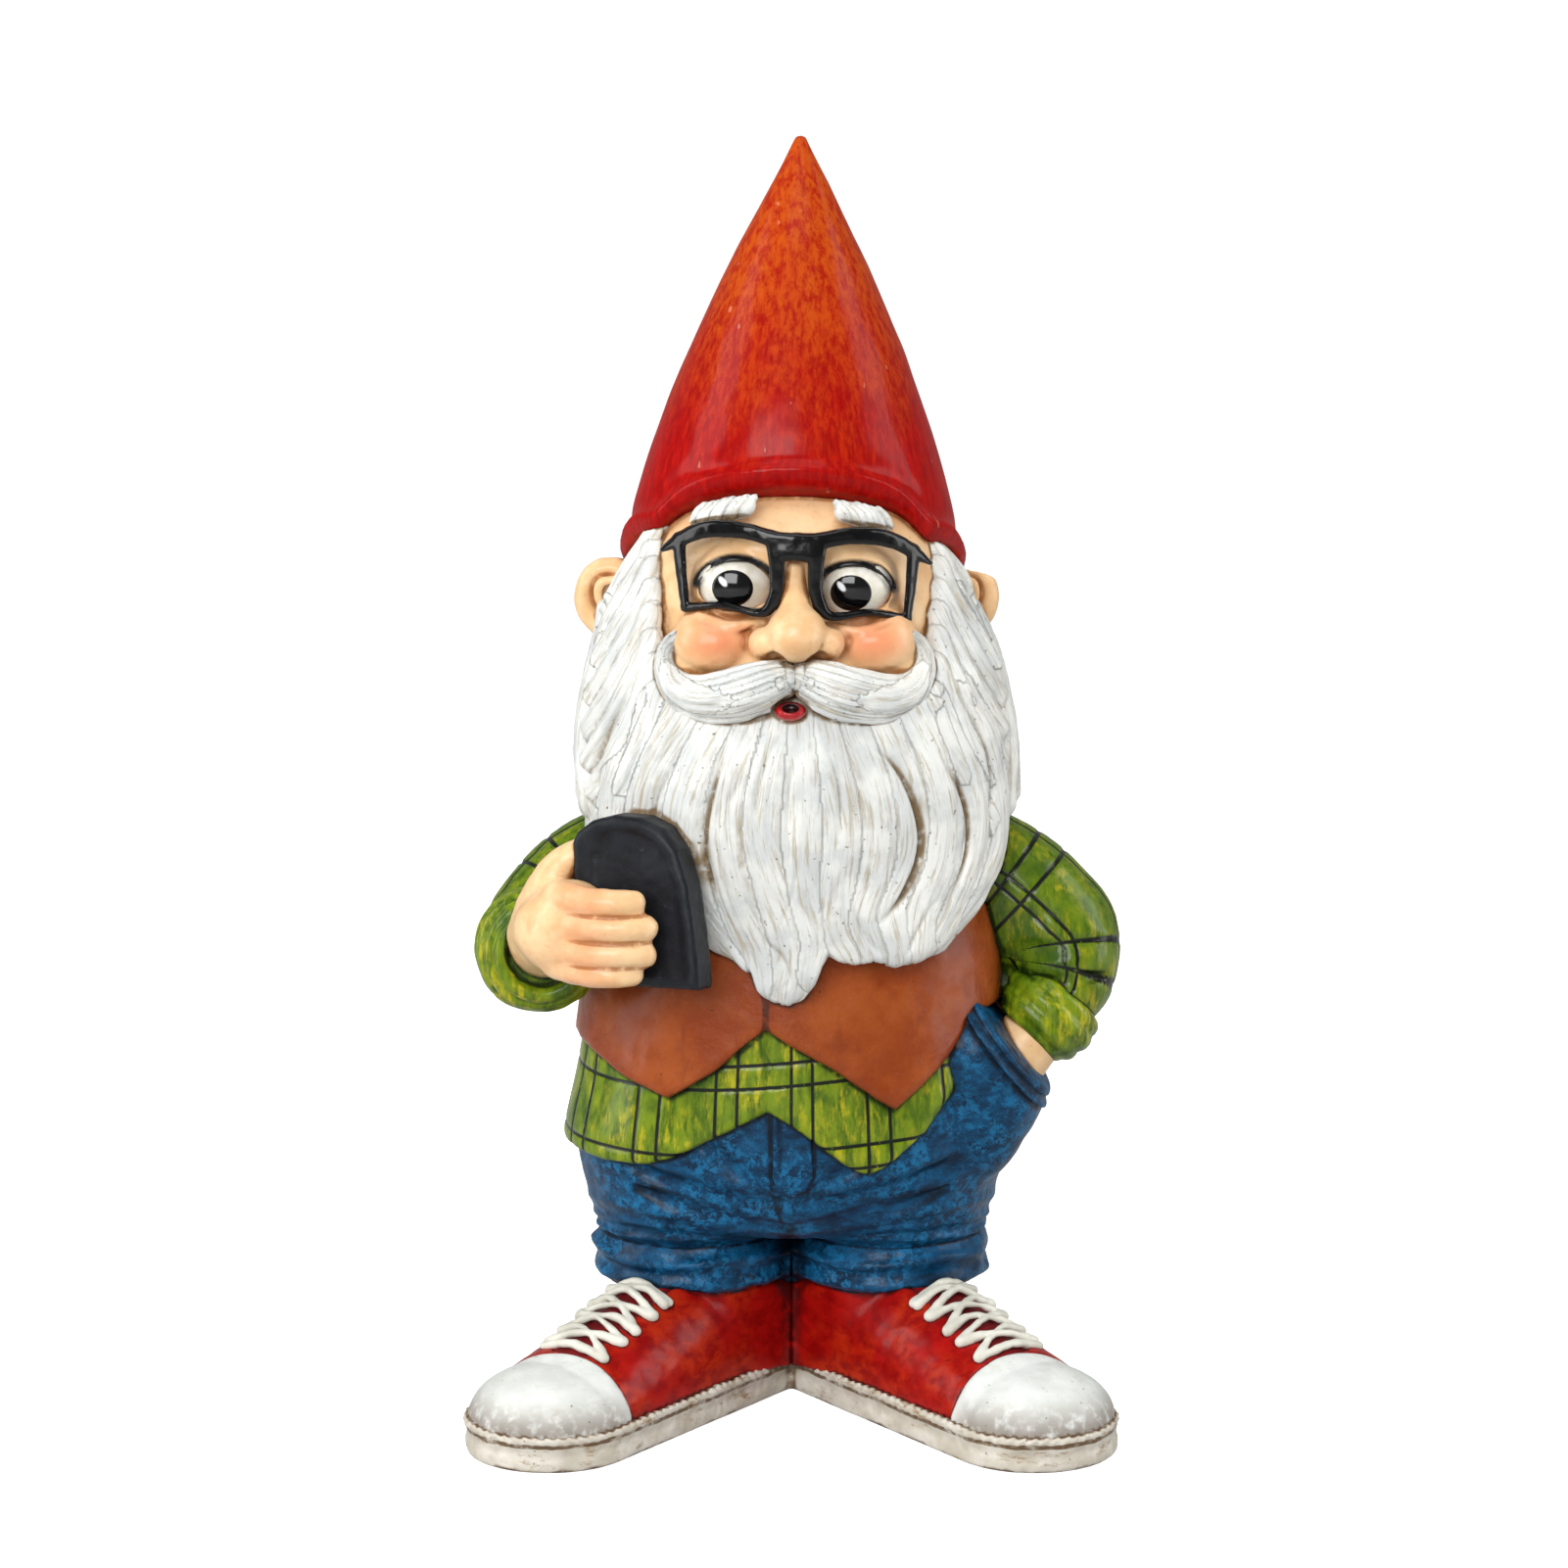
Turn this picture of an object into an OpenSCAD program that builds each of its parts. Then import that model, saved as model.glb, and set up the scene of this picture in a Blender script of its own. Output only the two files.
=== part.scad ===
// Garden gnome: a painted cast-resin figure in a pointed hat, glasses, waistcoat,
// checked shirt, jeans and canvas shoes. The right hand holds a phone and the left
// hand is in the trouser pocket. The castings are glued to each other on spigots and
// on matched seats, and the torso and head are hollow, with a plugged pour
// hole underneath.
//
// Frame: Z up, the figure faces -Y, X to its left. The origin is on the ground
// under the middle of the figure. Millimetres.

/* [Figure] */
// Height of the whole figure, ground to hat tip
figure_h = 300; // [285:1:320]
// Glue gap left between neighbouring castings
gap = 0.1; // [0.05:0.05:0.3]
// Wall of the hollow torso casting
wall = 8; // [6:0.5:12]

/* [Hat] */
// Radius of the hat at the height of its brim
hat_r = 39.7; // [38:0.1:42]
// Height of the brim on the hat's axis
brim_z = 201; // [198:0.5:204]
// How far the brim is lifted at the front, degrees
brim_tilt = 26; // [20:0.5:30]
// Radius of the glued spigot between head and hat
spigot_r = 15; // [10:0.5:18]

/* [Head] */
// Half the width of the head
head_rx = 38; // [36:0.5:40]
// Half the depth of the head
head_ry = 39; // [37:0.5:41]
// Height of the middle of the eyes
eye_z = 200; // [197:0.5:203]
// Distance of each eye from the middle of the face
eye_x = 13.4; // [12.5:0.1:14.5]
// Width of the glasses frame
glasses_w = 57; // [52:0.5:60]

/* [Phone] */
// Width of the phone
phone_w = 27; // [24:0.5:30]
// Height of the phone
phone_h = 41; // [36:0.5:44]
// Thickness of the phone
phone_t = 8.5; // [7:0.5:10]

/* [Shoes] */
// Thickness of the sole
sole_t = 8; // [7:0.5:9]
// Radius of the toe in plan
toe_r = 20; // [18:0.5:22]
// Radius of the heel in plan
heel_r = 17; // [16.5:0.5:18]
// Angle each shoe is turned out, degrees
splay = 37.7; // [33:0.5:42]
// Distance from heel centre to toe centre
shoe_span = 69.5; // [64:0.5:74]
// Radius of the plugged pour hole under the heels
pour_r = 6.5; // [5:0.5:7]

/* [Hidden] */

loft_fn = 24;
egg_fn = 16;
bone_fn = 10;
right = -1;
left = 1;
hat_h = figure_h - brim_z;
face_x = 0.8;
heel_x = 13;
heel_y = 9.5;
pour_y = heel_y + 1.5;
neck_r = 10;
toe_x = heel_x + shoe_span * sin(splay);
toe_y = heel_y - shoe_span * cos(splay);
eye_y = -29.5;
eye_r = 9;
pupil_r = 4.6;
leg_x = 23.5;
leg_y = 3;
// Cloth thickness of the waistcoat
vest_t = 2.5;
// Hair lies behind this plane and beard in front of it
parting_y = 8;
// Spans of the shoe's body between toe and ankle, and the length they cover
shoe_spans = 6;
shoe_run = 52;
// Width of a lace, and how far its middle is above the vamp
lace_w = 2.6;
lace_lift = 0.7;
// Edge of the blocks used to cut half-spaces
big = 200;

// Stations of the lofted bodies: [height, middle x, middle y, half width, half depth]
hips = [[43, 0, 2, 47, 28], [50, 0, 1, 49, 32], [60, 0, 0, 51, 35],
        [72, 0, 0, 51, 35.5], [84, 0, 0, 48.5, 35], [96, 0, 0, 46, 34]];
chest = [[58, 0, 0, 53.5, 38.5], [66, 0, 0, 54, 38.5], [82, 0, 0, 50.5, 37.5], [98, 0, 0, 48, 36],
         [114, 0, 1, 46.5, 35], [128, 0, 2, 43, 32], [137, 0, 3, 35, 27], [143, 0, 3, 22, 19]];
whiskers = [[206, 1, 2, 39.5, 36], [192, 1, 0, 45, 40], [177, 1, -2, 48.5, 43],
            [162, 1, -4, 51, 44], [148, 1.5, -5, 51.2, 43], [136, 1.5, -7, 50.5, 39],
            [126, 5, -10, 44, 35], [117, 9, -13, 35, 30], [111, 7, -18, 24, 24],
            [106, 0, -23, 11, 18], [103, -1, -27, 5, 12]];

// ---------- shared forms ----------

module egg(c, r, fine = egg_fn) hull() translate(c) scale(r) sphere(1, $fn = fine);

module bone(a, ra, b, rb)
    hull() {
        translate(a) sphere(ra, $fn = bone_fn);
        translate(b) sphere(rb, $fn = bone_fn);
    }

module chain(points)
    for (i = [0 : len(points) - 2])
        bone([for (k = [0 : 2]) points[i][k]], points[i][3],
             [for (k = [0 : 2]) points[i + 1][k]], points[i + 1][3]);

module disc(s, grow)
    translate([s[1], s[2], s[0]])
        scale([s[3] + grow, s[4] + grow, 1])
            cylinder(h = 0.01, r = 1, $fn = loft_fn);

module loft(stations, grow = 0)
    for (i = [0 : len(stations) - 2])
        hull() {
            disc(stations[i], grow);
            disc(stations[i + 1], grow);
        }

function hat_radius(z) = let (t = (figure_h - z) / hat_h) hat_r * (1.45 - 0.45 * t) * t;

// Everything above the tilted brim plane, raised by up
module above_brim(up = 0)
    translate([0, 0, brim_z + up])
        rotate([-brim_tilt, 0, 0])
            translate([-big / 2, -big / 2, 0])
                cube(big);

// Outline drawn in X and Z, run along Y from front to back
module curtain(outline, front, back)
    translate([0, back, 0])
        rotate([90, 0, 0])
            linear_extrude(back - front)
                polygon(outline);

module side(s) mirror([s < 0 ? 1 : 0, 0, 0]) children();

module head_form(grow = 0) {
    egg([face_x, -1, 188], [head_rx + grow, head_ry + grow, 44 + grow], 24);
    egg([face_x, -8, 176], [32 + grow, 34 + grow, 26 + grow]);
}

module nose_and_cheeks(grow = 0) {
    egg([face_x, -44, 190], [5.6 + grow, 8 + grow, 6.2 + grow]);
    bone([face_x, -39, 203], 2.6 + grow, [face_x, -44, 193], 4 + grow);
    for (s = [right, left]) {
        egg([face_x + s * 6.2, -41, 187.5], [4.2 + grow, 5 + grow, 3.8 + grow]);
        egg([face_x + s * 18, -32, 188], [10 + grow, 9 + grow, 9.5 + grow]);
    }
}

module torso_form(grow = 0) loft(chest, grow);

module leg_form(s, grow = 0)
    loft([[31, s * leg_x, leg_y, 20 + grow, 20 + grow],
          [38, s * leg_x, leg_y, 20 + grow, 20 + grow],
          [46, s * leg_x, leg_y, 21 + grow, 23 + grow],
          [54, s * (leg_x - 2), leg_y, 23 + grow, 26 + grow]]);

module hip_form(grow = 0) {
    loft(hips, grow);
    leg_form(right, grow);
    leg_form(left, grow);
    egg([44, -9, 73], [15 + grow, 17 + grow, 21 + grow]);
}

module right_arm_form(grow = 0)
    chain([[-41, 5, 124, 13 + grow], [-57, 7, 113, 13.5 + grow],
           [-59, -8, 111, 12.5 + grow], [-58.4, -14, 112, 11 + grow]]);

module left_arm_form(grow = 0)
    chain([[42, 5, 124, 13 + grow], [58, 4, 116, 13.5 + grow],
           [65, 2, 106, 13.5 + grow], [62.5, -2, 99.5, 11 + grow]]);

module right_hand_form(grow = 0) {
    chain([[-57, -27, 114, 8 + grow], [-55, -42, 120, 9.5 + grow], [-47, -51, 121, 9 + grow]]);
    for (i = [0 : 3])
        bone([-47, -53, 114 + 5 * i], 3.6 + grow, [-33.5, -54.5, 114.2 + 4.8 * i], 3.1 + grow);
    chain([[-55, -40, 124, 6 + grow], [-52, -41, 134, 4.5 + grow], [-47, -40, 139, 3.6 + grow]]);
}

module left_hand_form(grow = 0)
    chain([[61, -5, 91, 7.5 + grow], [57, -9, 79, 8 + grow], [53, -10, 70, 8 + grow]]);

module phone_form(grow = 0)
    translate([-34.5, -45.5, 108.5 - grow])
        rotate([-3, -4, -20])
            rotate([90, 0, 0])
                translate([0, 0, -phone_t / 2 - grow])
                    linear_extrude(phone_t + 2 * grow)
                        union() {
                            translate([-phone_w / 2 - grow, 0])
                                square([phone_w + 2 * grow, phone_h * 0.72 + grow]);
                            translate([0, phone_h * 0.72 - 0.1])
                                intersection() {
                                    scale([1, 0.86])
                                        circle(phone_w / 2 + grow, $fn = 48);
                                    translate([-phone_w, 0])
                                        square([2 * phone_w, phone_h + grow]);
                                }
                        }

// One shoe's plan: toe and heel circles and the band between them
module shoe_plan(s)
    hull() {
        translate([s * toe_x, toe_y]) circle(toe_r, $fn = 96);
        translate([s * heel_x, heel_y]) circle(heel_r, $fn = 96);
    }

// Half width and height of the shoe's body, d back from the toe's centre
function last_r(d) = toe_r - 1.2 - d / 26;

function last_h(d) = 11 + 5 * d / 13;

module last_ball(d, grow)
    translate([toe_x - d * sin(splay), toe_y + d * cos(splay), sole_t])
        scale([last_r(d) + grow, last_r(d) + grow, last_h(d) + grow])
            sphere(1, $fn = egg_fn);

// A shoe above its sole, built on the figure's left and mirrored for the right
module shoe_form(grow = 0)
    difference() {
        union() {
            egg([toe_x, toe_y, sole_t], [toe_r - 1.2 + grow, toe_r - 1.2 + grow, 11 + grow]);
            for (i = [0 : shoe_spans - 1])
                hull() {
                    last_ball(shoe_run * i / shoe_spans, grow);
                    last_ball(shoe_run * (i + 1) / shoe_spans, grow);
                }
            loft([[sole_t, leg_x - 6, leg_y + 4, 20 + grow, 20 + grow],
                  [29, leg_x - 2, leg_y + 1, 20.5 + grow, 20.5 + grow]]);
        }
        translate([-big / 2, -big / 2, -big + sole_t]) cube(big);
        translate([-big / 2, -big / 2, 30.5 + grow]) cube(big);
        translate([-big + gap / 2 - grow, -big / 2, -big / 2]) cube(big);
    }

// The front of the shoe, ahead of the toe cap's seam
module toe_region(back = 0)
    translate([toe_x, toe_y, 0])
        rotate([0, 0, splay])
            translate([-big / 2, -big, -big / 2])
                translate([0, back - 1, 0])
                    cube(big);

// The tongue's strip, from the toe cap to the ankle
module tongue_region(grow = 0)
    translate([toe_x, toe_y, 0])
        rotate([0, 0, splay])
            translate([-5 - grow, 5 - grow, 0])
                cube([10 + 2 * grow, 27 + grow, 60]);

// ---------- pieces ----------

// Hollow of the head, kept below the spigot and the brim's seat
module head_hollow() egg([0, -1, 176], [24, 23, 20], 12);

// Joins the hollow of the torso to the hollow of the head
module neck_bore() translate([0, 2, 130]) cylinder(h = 40, r = neck_r, $fn = 32);

module hat()
    color("firebrick")
        difference() {
            rotate_extrude($fn = 96)
                polygon(concat([[0, 176]],
                    [for (z = [176 : 8 : figure_h - 6]) [hat_radius(z), z]],
                    [[2.1, figure_h - 2.2], [1.2, figure_h - 0.6], [0, figure_h]]));
            translate([0, 0, brim_z])
                rotate([-brim_tilt, 0, 0])
                    translate([-big / 2, -big / 2, -big])
                        cube(big);
            translate([0, 0, 150])
                cylinder(h = brim_z + 24 - 150, r = spigot_r + gap, $fn = 64);
            translate([0, 0, brim_z + 23])
                cylinder(h = 50, r1 = spigot_r - 1, r2 = 3, $fn = 64);
        }

module ear(s)
    difference() {
        union() {
            egg([s * 41 + face_x, 6, 193], [9.5, 4.5, 10]);
            egg([s * 39 + face_x, 6, 187], [7, 4.2, 8]);
        }
        egg([s * 43.5 + face_x, 1.6, 194], [4.2, 2.2, 6]);
    }

module head()
    color("burlywood")
        difference() {
            union() {
                difference() {
                    union() {
                        head_form();
                        nose_and_cheeks();
                        ear(right);
                        ear(left);
                    }
                    above_brim(-gap);
                    torso_form(gap);
                }
                translate([0, 0, 190])
                    cylinder(h = brim_z + 23.5 - 190, r = spigot_r, $fn = 48);
            }
            eyeball_form(right, gap);
            eyeball_form(left, gap);
            glasses_form(gap);
            moustache_form(gap);
            eyebrow_form(right, gap);
            eyebrow_form(left, gap);
            lip_form(gap);
            head_hollow();
            neck_bore();
        }

// Hair and beard share one outline, split at the ears
module whisker_form(grow = 0) loft(whiskers, grow);

module face_window()
    hull() {
        for (x = [-25, 26])
            translate([x + face_x, 0, 189]) rotate([90, 0, 0]) cylinder(h = 80, r = 6.5, $fn = 24);
        for (x = [-33, 34])
            translate([x + face_x, 0, 212]) rotate([90, 0, 0]) cylinder(h = 80, r = 6, $fn = 24);
    }

module ahead_of_parting()
    translate([-big / 2, parting_y + gap - big, -big / 2]) cube([big, big, 2 * big]);

module behind_parting()
    translate([-big / 2, parting_y, -big / 2]) cube([big, big, 2 * big]);

module hair()
    color("whitesmoke")
        difference() {
            loft([[212, 0, 4, 34, 32], [198, 0, 4, 41, 37], [184, 0, 4, 44, 40],
                  [168, 0, 4, 46, 40], [152, 0, 4, 43, 36], [142, 0, 6, 34, 28]]);
            head_form(gap);
            ear_clearance();
            loft(chest, vest_t + gap);
            above_brim(-gap);
            ahead_of_parting();
            right_arm_form(gap);
            left_arm_form(gap);
        }

module ear_clearance() {
    for (s = [right, left]) {
        egg([s * 41 + face_x, 6, 193], [9.6, 4.6, 10.1]);
        egg([s * 39 + face_x, 6, 187], [7.1, 4.3, 8.1]);
    }
}

module beard()
    color("whitesmoke")
        difference() {
            whisker_form();
            head_form(gap);
            nose_and_cheeks(gap);
            ear_clearance();
            face_window();
            above_brim(-gap);
            loft(chest, vest_t + gap);
            behind_parting();
            moustache_form(gap);
            lip_form(gap);
            phone_form(gap);
            right_hand_form(gap);
            right_arm_form(gap);
            left_arm_form(gap);
        }

module moustache_form(grow = 0)
    for (s = [right, left])
        chain([[s * 1.5 + face_x, -45, 180.5, 4 + grow], [s * 9 + face_x, -45, 177.5, 6.4 + grow],
               [s * 19 + face_x, -41, 175, 6.6 + grow], [s * 27 + face_x, -36, 178, 5 + grow],
               [s * 28.5 + face_x, -35, 185, 3 + grow], [s * 26.5 + face_x, -36.5, 188.5, 2.2 + grow]]);

module moustache() color("white") difference() { moustache_form(); lip_form(gap); }

module lip_form(grow = 0)
    egg([face_x - 1, -46, 172.6], [3.4 + grow, 3.4 + grow, 2.3 + grow], 16);

module lower_lip() color("crimson") lip_form();

module eyebrow_form(s, grow = 0)
    hull() {
        translate([s * 10.5 + face_x, -34.5, 217.5]) sphere(2.6 + grow, $fn = bone_fn);
        translate([s * 21 + face_x, -31.5, 215]) sphere(2.4 + grow, $fn = bone_fn);
    }

module right_eyebrow() color("white") difference() { eyebrow_form(right); above_brim(-gap); }

module left_eyebrow() color("white") difference() { eyebrow_form(left); above_brim(-gap); }

// Turned about the line of sight: a ball of radius r down to radius rim on its front
function ball_arc(r, rim, n = 8) =
    [for (i = [0 : n]) let (a = -90 + i * (90 + acos(rim / r)) / n) [i == 0 ? 0 : r * cos(a), r * sin(a)]];

module eyeball_form(s, grow = 0, seat = 0)
    translate([s * eye_x + face_x, eye_y, eye_z])
        rotate([90, 0, 0])
            rotate_extrude($fn = 32)
                polygon(concat(ball_arc(eye_r + grow, pupil_r + seat),
                               seat > 0 ? [[pupil_r + seat, eye_r - 2 - gap], [0, eye_r - 2 - gap]]
                                        : [[0, eye_r + 0.5]]));

// The pupil is a domed button let into the front of the eyeball
module pupil_form(s)
    translate([s * eye_x + face_x, eye_y, eye_z])
        rotate([90, 0, 0])
            rotate_extrude($fn = 32)
                polygon([[0, eye_r - 2], [pupil_r, eye_r - 2], [pupil_r, eye_r - 1],
                         [pupil_r * 0.6, eye_r], [0, eye_r + 0.3]]);

module right_eyeball() color("ivory") eyeball_form(right, 0, gap);

module left_eyeball() color("ivory") eyeball_form(left, 0, gap);

module right_pupil() color("black") pupil_form(right);

module left_pupil() color("black") pupil_form(left);

module lens_hole(s)
    polygon([[s * 3.6, 5.8], [s * 25.5, 5.2], [s * 24.6, -6.6], [s * 6.4, -6.6], [s * 4.4, -3.5]]);

// The frame is a flat outline wrapped on the face by cutting it from a curved band
module glasses_form(grow = 0)
    intersection() {
        translate([face_x, -20, eye_z + 1])
            rotate([90, 0, 0])
                linear_extrude(40)
                    difference() {
                        polygon([[-glasses_w / 2, 6.5], [-glasses_w / 2 + 4, 9.8], [-8, 9.2], [8, 9.2],
                                 [glasses_w / 2 - 4, 9.8], [glasses_w / 2, 6.5],
                                 [glasses_w / 2 - 1.6, -8.6], [4.5, -8.6], [2.6, -1], [-2.6, -1],
                                 [-4.5, -8.6], [-glasses_w / 2 + 1.6, -8.6]]);
                        lens_hole(right);
                        lens_hole(left);
                    }
        difference() {
            egg([face_x, 0, 196], [44 + grow, 42.5 + grow, 60 + grow], 20);
            egg([face_x, 0, 196], [41 - grow, 39.2 - grow, 57 - grow], 20);
        }
    }

module glasses()
    color([0.06, 0.06, 0.07])
        difference() {
            glasses_form();
            eyeball_form(right, gap);
            eyeball_form(left, gap);
        }

module shirt_hem()
    curtain([[-70, 40], [-70, 63], [-52, 63], [-31, 64.3], [-5, 77.6], [17.6, 62.4],
             [34, 74], [44, 96], [70, 96], [70, 40]], -60, 0);

module vest_hem()
    curtain([[-70, 40], [-70, 90], [-52, 89], [-28.6, 80.2], [-5.7, 97.4], [24, 77.7],
             [45, 97], [70, 99], [70, 40]], -60, 0);

module shirt_form(grow = 0)
    difference() {
        torso_form(grow);
        translate([0, 0, -grow]) shirt_hem();
        curtain([[-70, 40], [-70, 64 - grow], [70, 64 - grow], [70, 40]], 0, 60);
    }

module shirt()
    color("yellowgreen")
        difference() {
            shirt_form();
            hip_form(gap);
            loft([[88, 0, 0, 46 - wall, 34 - wall], [98, 0, 0, 46 - wall, 34 - wall],
                  [126, 0, 2, 42 - wall, 31 - wall], [134, 0, 3, 20, 14]]);
            neck_bore();
            left_hand_form(gap);
        }

module vest()
    color("sienna")
        difference() {
            loft(chest, vest_t);
            torso_form(gap);
            hip_form(gap);
            head_form(gap);
            vest_hem();
            curtain([[-70, 40], [-70, 88], [70, 88], [70, 40]], 0, 60);
            translate([-6.2, -60, 40]) cube([0.6, 60, 110]);
            right_arm_form(gap);
            left_arm_form(gap);
            left_hand_form(gap);
            phone_form(gap);
            right_hand_form(gap);
            cuff_ring(right, gap);
            cuff_ring(left, gap);
        }

module right_sleeve()
    color("olivedrab")
        difference() {
            right_arm_form();
            torso_form(gap);
            right_hand_form(gap);
            cuff_ring(right, gap);
        }

module left_sleeve()
    color("olivedrab")
        difference() {
            left_arm_form();
            torso_form(gap);
            left_hand_form(gap);
            cuff_ring(left, gap);
        }

// A rolled sleeve end: a barrel-sided ring
module cuff_ring(s, grow = 0) {
    at = s == right ? [-58.2, -25, 113] : [61.5, -4.5, 91.5];
    turn = s == right ? [86, 0, -6] : [12, 18, 0];
    r = s == right ? 14.4 : 13;
    translate(at)
        rotate(turn)
            rotate_extrude($fn = 28)
                union() {
                    translate([0, -4.5 - grow]) square([r - 2 + grow, 9 + 2 * grow]);
                    translate([r - 4.5, 0]) circle(4.5 + grow, $fn = 14);
                }
}

module right_cuff_roll()
    color("yellowgreen")
        difference() {
            cuff_ring(right);
            right_hand_form(gap);
            torso_form(gap + vest_t);
        }

module left_cuff_roll()
    color("yellowgreen")
        difference() {
            cuff_ring(left);
            left_hand_form(gap);
            torso_form(vest_t + gap);
        }

module right_hand()
    color("burlywood")
        difference() {
            right_hand_form();
            phone_form(gap);
        }

module left_hand()
    color("burlywood")
        difference() {
            left_hand_form();
            torso_form(vest_t + gap);
        }

module phone() color([0.13, 0.13, 0.15]) phone_form();

module trousers()
    color("steelblue")
        difference() {
            hip_form();
            loft([[48, 0, 2, 34, 20], [62, 0, 0, 51 - wall, 35 - wall], [84, 0, 0, 48 - wall, 35 - wall],
                  [97, 0, 0, 46 - wall, 34 - wall]]);
            translate([0, pour_y, 20]) cylinder(h = 40, r = pour_r, $fn = 32);
            translate([-big / 2, -big / 2, -big + 30.5 + gap]) cube(big);
            for (s = [right, left])
                difference() {
                    trouser_cuff_form(s, gap);
                    leg_core(s);
                }
            fly_form(gap);
            left_hand_form(gap);
            lip_band(gap);
            left_arm_form(gap);
            cuff_ring(left, gap);
        }

module fly_form(grow = 0)
    intersection() {
        curtain([[-4 - grow, 96], [-4 - grow, 60], [-1, 57 - grow], [2.5, 57.5 - grow],
                 [5 + grow, 62], [5.5 + grow, 96]], -60, -20);
        difference() {
            loft(hips, 0.9 + grow);
            loft(hips, -0.8 - grow);
        }
    }

module fly_flap() color("steelblue") difference() { fly_form(); shirt_form(gap); }

module lip_band(grow = 0)
    chain([[43, -24, 93, 2.6 + grow], [51, -21, 88, 2.8 + grow],
           [57.5, -16, 80, 2.8 + grow], [60, -7, 75, 2.6 + grow]]);

module pocket_lip()
    color("royalblue")
        difference() {
            lip_band();
            left_hand_form(gap);
            torso_form(vest_t + gap);
            cuff_ring(left, gap);
        }

module trouser_cuff_form(s, grow = 0)
    intersection() {
        loft([[28.8 - grow, s * leg_x, leg_y, 21.5 + grow, 21.5 + grow],
              [31, s * leg_x, leg_y, 22.5 + grow, 22.5 + grow],
              [36, s * leg_x, leg_y, 22.2 + grow, 22.2 + grow],
              [40 + grow, s * leg_x, leg_y, 20.4 + grow, 20.4 + grow]]);
        translate([s < 0 ? -big - gap / 2 : gap / 2, -big / 2, 0]) cube(big);
    }

module trouser_cuff(s)
    color("royalblue")
        difference() {
            trouser_cuff_form(s);
            side(s) shoe_form(gap);
            leg_core(s, gap);
        }

// The leg that the trouser cuff is slipped over
module leg_core(s, grow = 0)
    translate([s * leg_x, leg_y, 0])
        cylinder(h = 60, r = 17 + grow, $fn = 48);

module right_trouser_cuff() trouser_cuff(right);

module left_trouser_cuff() trouser_cuff(left);

module shoe(s)
    color("crimson")
        side(s)
            difference() {
                shoe_form();
                toe_region();
                tongue_form(gap);
                translate([0, pour_y, 0]) cylinder(h = 60, r = pour_r, $fn = 32);
            }

module right_shoe() shoe(right);

module left_shoe() shoe(left);

module toe_cap(s)
    color("whitesmoke")
        side(s)
            intersection() {
                shoe_form();
                toe_region(-gap);
            }

module right_toe_cap() toe_cap(right);

module left_toe_cap() toe_cap(left);

// Top layer of the shoe in the lacing gap
module tongue_form(grow = 0)
    intersection() {
        tongue_region(grow);
        difference() {
            shoe_form(grow);
            translate([0, 0, -3 - 2 * grow]) shoe_form(grow);
        }
    }

module tongue(s) color("darkred") side(s) difference() { tongue_form(); trouser_cuff_form(left, gap); }

module right_tongue() tongue(right);

module left_tongue() tongue(left);

// Centre of a lace bead on the vamp, d back from the toe's centre
function on_vamp(across, d) =
    [toe_x - d * sin(splay) + across * cos(splay),
     toe_y + d * cos(splay) + across * sin(splay),
     sole_t + last_h(d) * sqrt(1 - pow(across / last_r(d), 2)) + lace_lift];

module lace(a, b)
    hull() {
        translate(a) cube(lace_w, center = true);
        translate(b) cube(lace_w, center = true);
    }

module laces_form()
    for (i = [0 : 3])
        for (s = [right, left])
            lace(on_vamp(s * 7, 6.5 + 5.2 * i), on_vamp(-s * 7, 11.3 + 5.2 * i));

module laces(s)
    color("white")
        side(s)
            difference() {
                laces_form();
                trouser_cuff_form(left, gap);
                shoe_form(gap);
            }

module right_laces() laces(right);

module left_laces() laces(left);

module sole()
    color("antiquewhite")
        difference() {
            linear_extrude(sole_t - gap)
                union() {
                    shoe_plan(right);
                    shoe_plan(left);
                }
            translate([0, pour_y, -1]) cylinder(h = 20, r = pour_r + gap / 2, $fn = 64);
        }

module pour_plug()
    color("dimgray")
        translate([0, pour_y, 0.6])
            cylinder(h = sole_t - 1.2, r = pour_r, $fn = 64);

hat();
head();
hair();
beard();
moustache();
lower_lip();
right_eyebrow();
left_eyebrow();
right_eyeball();
left_eyeball();
right_pupil();
left_pupil();
glasses();
vest();
shirt();
right_sleeve();
left_sleeve();
right_cuff_roll();
left_cuff_roll();
right_hand();
left_hand();
phone();
trousers();
fly_flap();
pocket_lip();
right_trouser_cuff();
left_trouser_cuff();
right_shoe();
left_shoe();
right_toe_cap();
left_toe_cap();
right_tongue();
left_tongue();
right_laces();
left_laces();
sole();
pour_plug();
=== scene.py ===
import itertools
import math

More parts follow.
